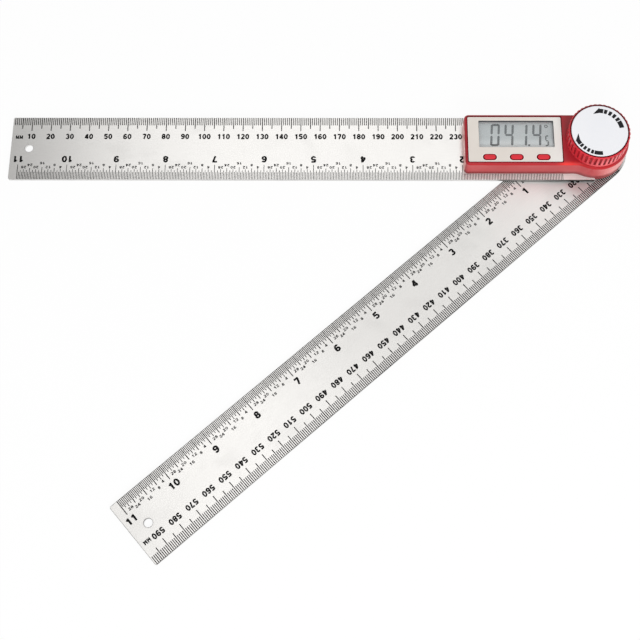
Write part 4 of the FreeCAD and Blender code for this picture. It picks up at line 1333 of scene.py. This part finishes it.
@dataclass
class FrontPanel:
    """The pale panel with its window and key openings, the window's border and the keys. In millimetres."""

    left: float = -64.75
    right: float = -17.5
    half_width: float = 12.55
    corner: float = 0.7
    corner_steps: int = 8
    low: float = 13.1
    high: float = 14.2
    edge: float = 0.05
    edge_steps: int = 3
    rim_angle: float = 60.0
    # Width of the painted highlight along the panel's rims.
    bright_border: float = 0.38
    # Inset, reach and levels of the painted shadow ring round the panel.
    seam: Pair = (0.04, 0.45)
    seam_levels: Pair = (14.15, 14.33)
    window: tuple[float, float, float, float] = (-59.25, -21.25, -4.35, 10.7)
    window_corner: float = 0.45
    window_margin: float = 0.3
    border: tuple[float, float, float] = (0.15, 0.1, 0.42)
    border_relief: float = 0.04
    # Margins of the painted shade on the opening's walls, and how far below the panel's top it ends.
    lining: tuple[float, float, float] = (0.08, 0.08, 0.1)
    lining_drop: float = 0.3
    border_tuck: float = 0.5
    key_places: tuple[tuple[str, float], ...] = (("left", -54.1), ("middle", -40.6), ("right", -27.1))
    key_row: float = -9.95
    opening_size: Pair = (7.1, 3.5)
    key_size: Pair = (5.8, 2.5)
    key_low: float = 12.4
    key_high: float = 14.6
    key_edge: float = 0.3
    skirt_size: Pair = (7.06, 3.46)
    skirt_high: float = 14.2
    skirt_depth: float = 0.8

    def outline(
        self, mesh: Mesh, left: float, right: float, low: float, high: float, corner: float, level: float
    ) -> None:
        """Adds a rounded rectangle's outline.

        Args:
            mesh: The bmesh to add to.
            left: Its left side.
            right: Its right side.
            low: Its lower side.
            high: Its upper side.
            corner: Radius of its corners.
            level: Its height.
        """
        size = Matrix.Diagonal(((right - left) / 2, (high - low) / 2, 1.0, 1.0))
        place = Matrix.Translation(((left + right) / 2, (low + high) / 2, level)) @ size
        verts = bmesh.ops.create_grid(mesh, x_segments=1, y_segments=1, size=1.0, matrix=place)["verts"]
        rounded = bevel(mesh, verts, corner, self.corner_steps, "VERTICES")
        face = next(f for f in rounded[0].link_faces if len(f.verts) > self.corner_steps)
        others = {f for v in face.verts for f in v.link_faces}
        bmesh.ops.delete(mesh, geom=list(others), context="FACES_ONLY")

    def slab(self, outlines: list[tuple[float, ...]], high: float, depth: float) -> Mesh:
        """Makes a plate from one outline with openings.

        Args:
            outlines: Sides and corner radius of the plate and of each opening.
            high: Level of its top.
            depth: Its thickness.

        Returns:
            The plate.
        """
        mesh = bmesh.new()
        for outline in outlines:
            self.outline(mesh, *outline, high)
        bmesh.ops.triangle_fill(mesh, use_beauty=True, edges=mesh.edges)
        for face in mesh.faces:
            if face.normal.z < 0:
                face.normal_flip()
        bmesh.ops.solidify(mesh, geom=mesh.faces, thickness=depth)
        bmesh.ops.recalc_face_normals(mesh, faces=mesh.faces)
        top = max(v.co.z for v in mesh.verts)
        bmesh.ops.translate(mesh, vec=(0.0, 0.0, high - top), verts=mesh.verts)
        return mesh

    def soften(self, mesh: Mesh, level: float, size: float) -> None:
        """Rounds a plate's sharp edges at one level.

        Args:
            mesh: The plate.
            level: The level of the edges.
            size: How far the rounding reaches.
        """
        rims = [
            edge
            for edge in mesh.edges
            if all(abs(vert.co.z - level) < 1e-4 for vert in edge.verts)
            and len(edge.link_faces) == 2
            and edge.calc_face_angle(0.0) > math.radians(self.rim_angle)
        ]
        bevel(mesh, rims, size, self.edge_steps, clamp_overlap=True)

    def around(self, x: float, size: Pair) -> tuple[float, ...]:
        """Returns the sides and corner radius of a round-ended outline in the row of keys."""
        length, width = size
        low, high = self.key_row - width / 2, self.key_row + width / 2
        return (x - length / 2, x + length / 2, low, high, width / 2 - 0.01)

    def build(self) -> None:
        """Builds the panel, the window's border and the three keys."""
        plate = (self.left, self.right, -self.half_width, self.half_width, self.corner)
        openings = [self.around(x, self.opening_size) for _, x in self.key_places]
        outlines = [plate, *openings, (*self.window, self.window_corner)]
        panel = self.slab(outlines, self.high, self.high - self.low)
        self.soften(panel, self.high, self.edge)
        self.mark_borders(panel)
        stand_in(panel, "front_panel", Body.DISPLAY_ARM, "bezel_white", "bezel_plate")
        self.window_border()
        self.panel_seam()
        for name, x in self.key_places:
            body = Body("key_" + name)
            key = self.slab([self.around(x, self.key_size)], self.key_high, self.key_high - self.key_low)
            self.soften(key, self.key_high, self.key_edge)
            stand_in(key, "key_cap_" + name, body, "red_keys", "button_" + name)
            # The skirt fills the key's gap and is coloured as painted shadow.
            skirt = self.slab([self.around(x, self.skirt_size)], self.skirt_high, self.skirt_depth)
            Piece("key_skirt_" + name, body, PAINTED_SHADOW_LINE, "red_keys").finish_mesh(skirt)

    def mark_borders(self, mesh: Mesh) -> None:
        """Insets the panel's face and marks its rims, apart from the window's, for the painted highlight
        along the border.
        """
        mark = mesh.verts.layers.float.new("border")
        top = [f for f in mesh.faces if f.normal.z > 0.99 and f.calc_center_median().z > self.high - 0.01]
        bmesh.ops.inset_region(mesh, faces=top, thickness=self.bright_border, use_even_offset=True)
        inner = {v for f in top for v in f.verts}
        left, right, low, high = self.window
        margin = self.window_margin
        for vert in mesh.verts:
            x, y = vert.co.xy
            by_window = left - margin < x < right + margin and low - margin < y < high + margin
            vert[mark] = 0.0 if vert in inner or by_window else 1.0

    def panel_seam(self) -> None:
        """Builds the painted shadow line where the panel is let into the shell."""
        inset, reach = self.seam
        rings = []
        for away in (reach, inset):
            width = self.half_width + away
            rings.append((self.left - away, self.right + away, -width, width, self.corner))
        bottom, top = self.seam_levels
        # Painted shadow: a dark ring round the panel where its gap to the shell lies in shade.
        ring = self.slab(rings, top, top - bottom)
        Piece("panel_seam", Body.DISPLAY_ARM, PAINTED_SHADOW_LINE, "red_shell").finish_mesh(ring)

    def window_border(self) -> None:
        """Builds the dark border on the window, and the painted shade on the walls of its opening."""
        left, right, low, high = self.window
        low -= self.border_tuck
        outside = (left, right, low, high, self.window_corner)
        # The second ring is painted shade on the walls of the opening.
        for name, margins, top in (
            ("window_border", self.border, self.low + self.border_relief),
            ("window_lining", self.lining, self.high - self.lining_drop),
        ):
            sides = (left + margins[0], right - margins[1], low + self.border_tuck / 2, high - margins[2])
            ring = self.slab([outside, (*sides, self.window_corner / 2)], top, top - self.low)
            Piece(name, Body.DISPLAY_ARM, DARK_BORDER_AND_WALL_SHADE, "bezel_white").finish_mesh(ring)


@dataclass
class ClampKnob:
    """The grooved locking knob, hollow underneath, with a recess for its cap. In millimetres."""

    groove_count: int = 40
    steps: int = 9
    groove_reach: float = 2.0
    wall_from: float = 14.7
    # Radii and levels of the painted shadow ring round the cap, and its steps.
    seam: tuple[float, float, float, float] = (14.11, 14.72, 23.3, 23.56)
    seam_steps: int = 144
    groove_depths: tuple[Pair, ...] = ((15.75, 0.55), (21.9, 0.55), (22.5, 0.3), (22.9, 0.22), (23.5, 0.12))
    face: tuple[Pair, ...] = ((0.0, 22.3), (14.15, 22.3), (14.15, 23.5), (14.8, 23.5))
    wall_radius: float = 15.4
    wall_levels: tuple[float, ...] = (22.9, 22.5, 21.9, 15.75, 15.4, 14.5)
    hollow: tuple[Pair, ...] = ((13.2, 14.5), (13.2, 21.3), (8.0, 21.3), (8.0, 14.8))
    hub: tuple[Pair, ...] = ((4.7, 14.8), (4.7, 15.6), (3.8, 15.6), (3.8, 20.5), (0.0, 20.5))

    def build(self) -> None:
        """Builds the knob: one rib's width is turned, its groove is pressed in, and it goes all round."""
        mesh = bmesh.new()
        pitch = math.tau / self.groove_count
        start = Matrix.Rotation(-pitch / 2, 4, "Z")
        wall = [(self.wall_radius, level) for level in self.wall_levels]
        corners = (*self.face, *wall, *self.hollow, *self.hub)
        outline = [start @ Vector((radius, 0.0, level)) for radius, level in corners]
        spin(mesh, add_chain(mesh, outline), pitch, self.steps)
        self.press_grooves(mesh)
        whole = [*mesh.verts, *mesh.edges, *mesh.faces]
        spin(mesh, whole, math.tau - pitch, self.groove_count - 1, use_duplicate=True)
        bmesh.ops.remove_doubles(mesh, verts=mesh.verts, dist=0.001)
        bmesh.ops.recalc_face_normals(mesh, faces=mesh.faces)
        stand_in(mesh, "grooved_knob", Body.CLAMP_KNOB, "red_knob", "lock_knob")
        self.cap_seam()

    def cap_seam(self) -> None:
        """Builds the painted shadow line round the cap."""
        mesh = bmesh.new()
        inner, outer, bottom, top = self.seam
        corners = ((inner, 0.0, bottom), (outer, 0.0, bottom), (outer, 0.0, top), (inner, 0.0, top))
        spin(mesh, add_chain(mesh, corners, closed=True), math.tau, self.seam_steps, use_merge=True)
        bmesh.ops.recalc_face_normals(mesh, faces=mesh.faces)
        Piece("cap_seam", Body.CLAMP_KNOB, PAINTED_SHADOW_LINE, "red_knob").finish_mesh(mesh)

    def press_grooves(self, mesh: Mesh) -> None:
        """Moves the middle columns of the wall inwards."""
        for vert in mesh.verts:
            reach = vert.co.xy.length
            off_middle = abs(math.degrees(math.atan2(vert.co.y, vert.co.x)))
            depth = next((size for level, size in self.groove_depths if abs(vert.co.z - level) < 0.01), 0.0)
            if reach > self.wall_from and off_middle < self.groove_reach:
                vert.co.xy *= (reach - depth) / reach


# Studio


@dataclass
class Lamp:
    """One soft rectangular lamp that doesn't show in glossy surfaces."""

    name: str
    place: tuple[float, float, float]
    target: tuple[float, float, float]
    size: Pair
    power: float

    def build(self) -> None:
        """Adds the lamp to the scene."""
        data = bpy.data.lights.new(self.name, "AREA")
        data.shape = "RECTANGLE"
        data.size, data.size_y = self.size
        data.energy = self.power
        lamp = link_object(self.name, data)
        lamp.location = self.place
        way = Vector(self.target) - Vector(self.place)
        lamp.rotation_euler = way.to_track_quat("-Z", "Y").to_euler()
        lamp.visible_glossy = False


@dataclass
class Studio:
    """The camera, the lamp, the world and the pale floor."""

    camera_place: tuple[float, float, float] = (-0.126225, -0.298319, 0.612076)
    camera_turn: tuple[float, float, float] = (0.370952, 0.017767, 0.009827)
    focal_length: float = 73.7436
    sensor_width: float = 36.0
    shift_y: float = -0.09375
    clip: Pair = (0.01, 20.0)
    floor_size: float = 6.0
    floor_glow: float = 0.94
    floor_shades: Pair = (0.86, 0.9)
    soft_light: float = 0.7
    wide_light: float = 1.09
    box_light: float = 0.96
    box_row: float = 0.21
    box_reach: float = 0.74
    box_side: Pair = (-0.3, -0.1)
    flag_edge: float = 0.207
    flag_soft: float = 0.012
    flag_depth: float = 0.62
    dim_slant: Pair = (0.75, 0.66)
    dim_edge: float = 0.164
    dim_soft: float = 0.022
    dim_depth: float = 0.6
    lamp: Lamp = field(
        default_factory=lambda: Lamp("front_lamp", (0.1, -0.95, 0.62), (-0.1, -0.05, 0.0), (0.5, 0.5), 8.0)
    )

    def build(self) -> None:
        """Builds the studio."""
        self.camera()
        self.world()
        self.floor()
        self.lamp.build()
        bpy.context.scene.view_settings.view_transform = "Standard"

    def camera(self) -> None:
        """Adds the camera."""
        data = bpy.data.cameras.new("camera")
        data.sensor_width = self.sensor_width
        data.lens = self.focal_length
        data.shift_y = self.shift_y
        data.clip_start, data.clip_end = self.clip
        camera = link_object("camera", data)
        camera.location = self.camera_place
        camera.rotation_euler = Euler(self.camera_turn, "XYZ")
        bpy.context.scene.camera = camera

    def world(self) -> None:
        """Makes the world: white behind the object, and soft boxes over it that the steel reflects."""
        world = bpy.data.worlds.new("studio")
        bpy.context.scene.world = world
        world.cycles.sampling_method = "NONE"
        tree = clear_tree(world)
        x, y, _ = tree.split(tree.add("TexCoord", output="Generated"))
        flag_start, flag_end = -self.flag_edge - self.flag_soft, -self.flag_edge + self.flag_soft
        flag = x.spread(self.flag_depth, 0.0, flag_start, flag_end)
        slant = x * self.dim_slant[0] + y * self.dim_slant[1]
        dim = slant.spread(0.0, self.dim_depth, self.dim_edge - self.dim_soft, self.dim_edge + self.dim_soft)
        box = tree.maths("ABSOLUTE", y - self.box_row).spread(self.box_light, 0.0, 0.0, self.box_reach)
        light = ((1.0 - dim) * self.wide_light + box * x.spread(0.0, 1.0, *self.box_side)) * (1.0 - flag)
        mirrored, soft, white = (
            tree.add("Background", {"Color": WHITE, "Strength": strength})
            for strength in (light, self.soft_light, 1.0)
        )
        path = tree.outputs(tree.node("LightPath"))
        glossy = tree.maths("ADD", path["Is Glossy Ray"], path["Is Transmission Ray"], clamp=True)
        lit = tree.add("MixShader", {0: glossy, 1: soft, 2: mirrored})
        both = tree.add("MixShader", {0: path["Is Camera Ray"], 1: lit, 2: white})
        tree.node("OutputWorld", {"Surface": both})

    def floor(self) -> None:
        """Lays the pale floor, which keeps the object's shadow and is seen through from below."""
        mesh = bmesh.new()
        bmesh.ops.create_grid(mesh, x_segments=4, y_segments=4, size=self.floor_size / 2)
        data = write_out("floor", mesh)
        link_object("floor", data)
        material = bpy.data.materials.new("pale_floor")
        tree = clear_tree(material)
        place = tree.add("TexCoord", output="Object")
        speck = tree.add("TexNoise", {"Vector": place, "Scale": 300.0, "Detail": 3.0})
        dark, pale = ((shade, shade, shade) for shade in self.floor_shades)
        matt = tree.add("BsdfDiffuse", {"Color": tree.blend(speck, dark, pale)})
        glow = tree.add("Emission", {"Color": WHITE, "Strength": 1.0})
        path = tree.outputs(tree.node("LightPath"))
        seen = tree.maths("ADD", path["Is Camera Ray"], path["Is Glossy Ray"], clamp=True)
        seen = tree.maths("ADD", seen, path["Is Transmission Ray"], clamp=True)
        both = tree.add("MixShader", {0: seen * self.floor_glow, 1: matt, 2: glow})
        below = tree.add("NewGeometry", output="Backfacing")
        one_way = tree.add("MixShader", {0: below, 1: both, 2: tree.add("BsdfTransparent")})
        tree.node("OutputMaterial", {"Surface": one_way})
        data.materials.append(material)


# Assembly


def dress(nodes: dict[str, bpy.types.Object], special: dict[str, Finish]) -> None:
    """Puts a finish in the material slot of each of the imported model's nodes.

    Args:
        nodes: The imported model's nodes, by name.
        special: Finishes of single nodes, in place of their slot's.
    """
    for name, node in nodes.items():
        slot = node.material_slots[0]
        finish = special.get(name) or SLOT_FINISHES[slot.material.name.split(".")[0]]
        slot.material = finish.build()
        LOG.info("%s: finish %s", name, finish.name)


def main() -> None:
    """Builds the studio, dresses the solids and adds the marks."""
    logging.basicConfig(level=logging.INFO)
    Studio().build()
    dress(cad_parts, {"swing_blade": SWING_STEEL})
    RuleScales(
        Body.DISPLAY_ARM,
        level=3.4,
        turn=0.0,
        millimetre_side=Side.UPPER,
        first_shown=10,
        last_shown=230,
        covered_from=-66.4,
        covered_length=3.4,
        inch_width=0.3,
        inch_strong=0.32,
    ).build()
    RuleScales(
        Body.SWING_ARM,
        level=1.5,
        turn=OPENING,
        millimetre_side=Side.LOWER,
        first_shown=310,
        last_shown=590,
        covered_from=-13.5,
        covered_length=4.3,
        fine_width=0.43,
        hinge_from=-16.5,
        past_pivot=3,
    ).build()
    FrontPanel().build()
    DisplayFigures().build()
    ClampKnob().build()
    CapArrows().build()


if __name__ == "__main__":
    main()
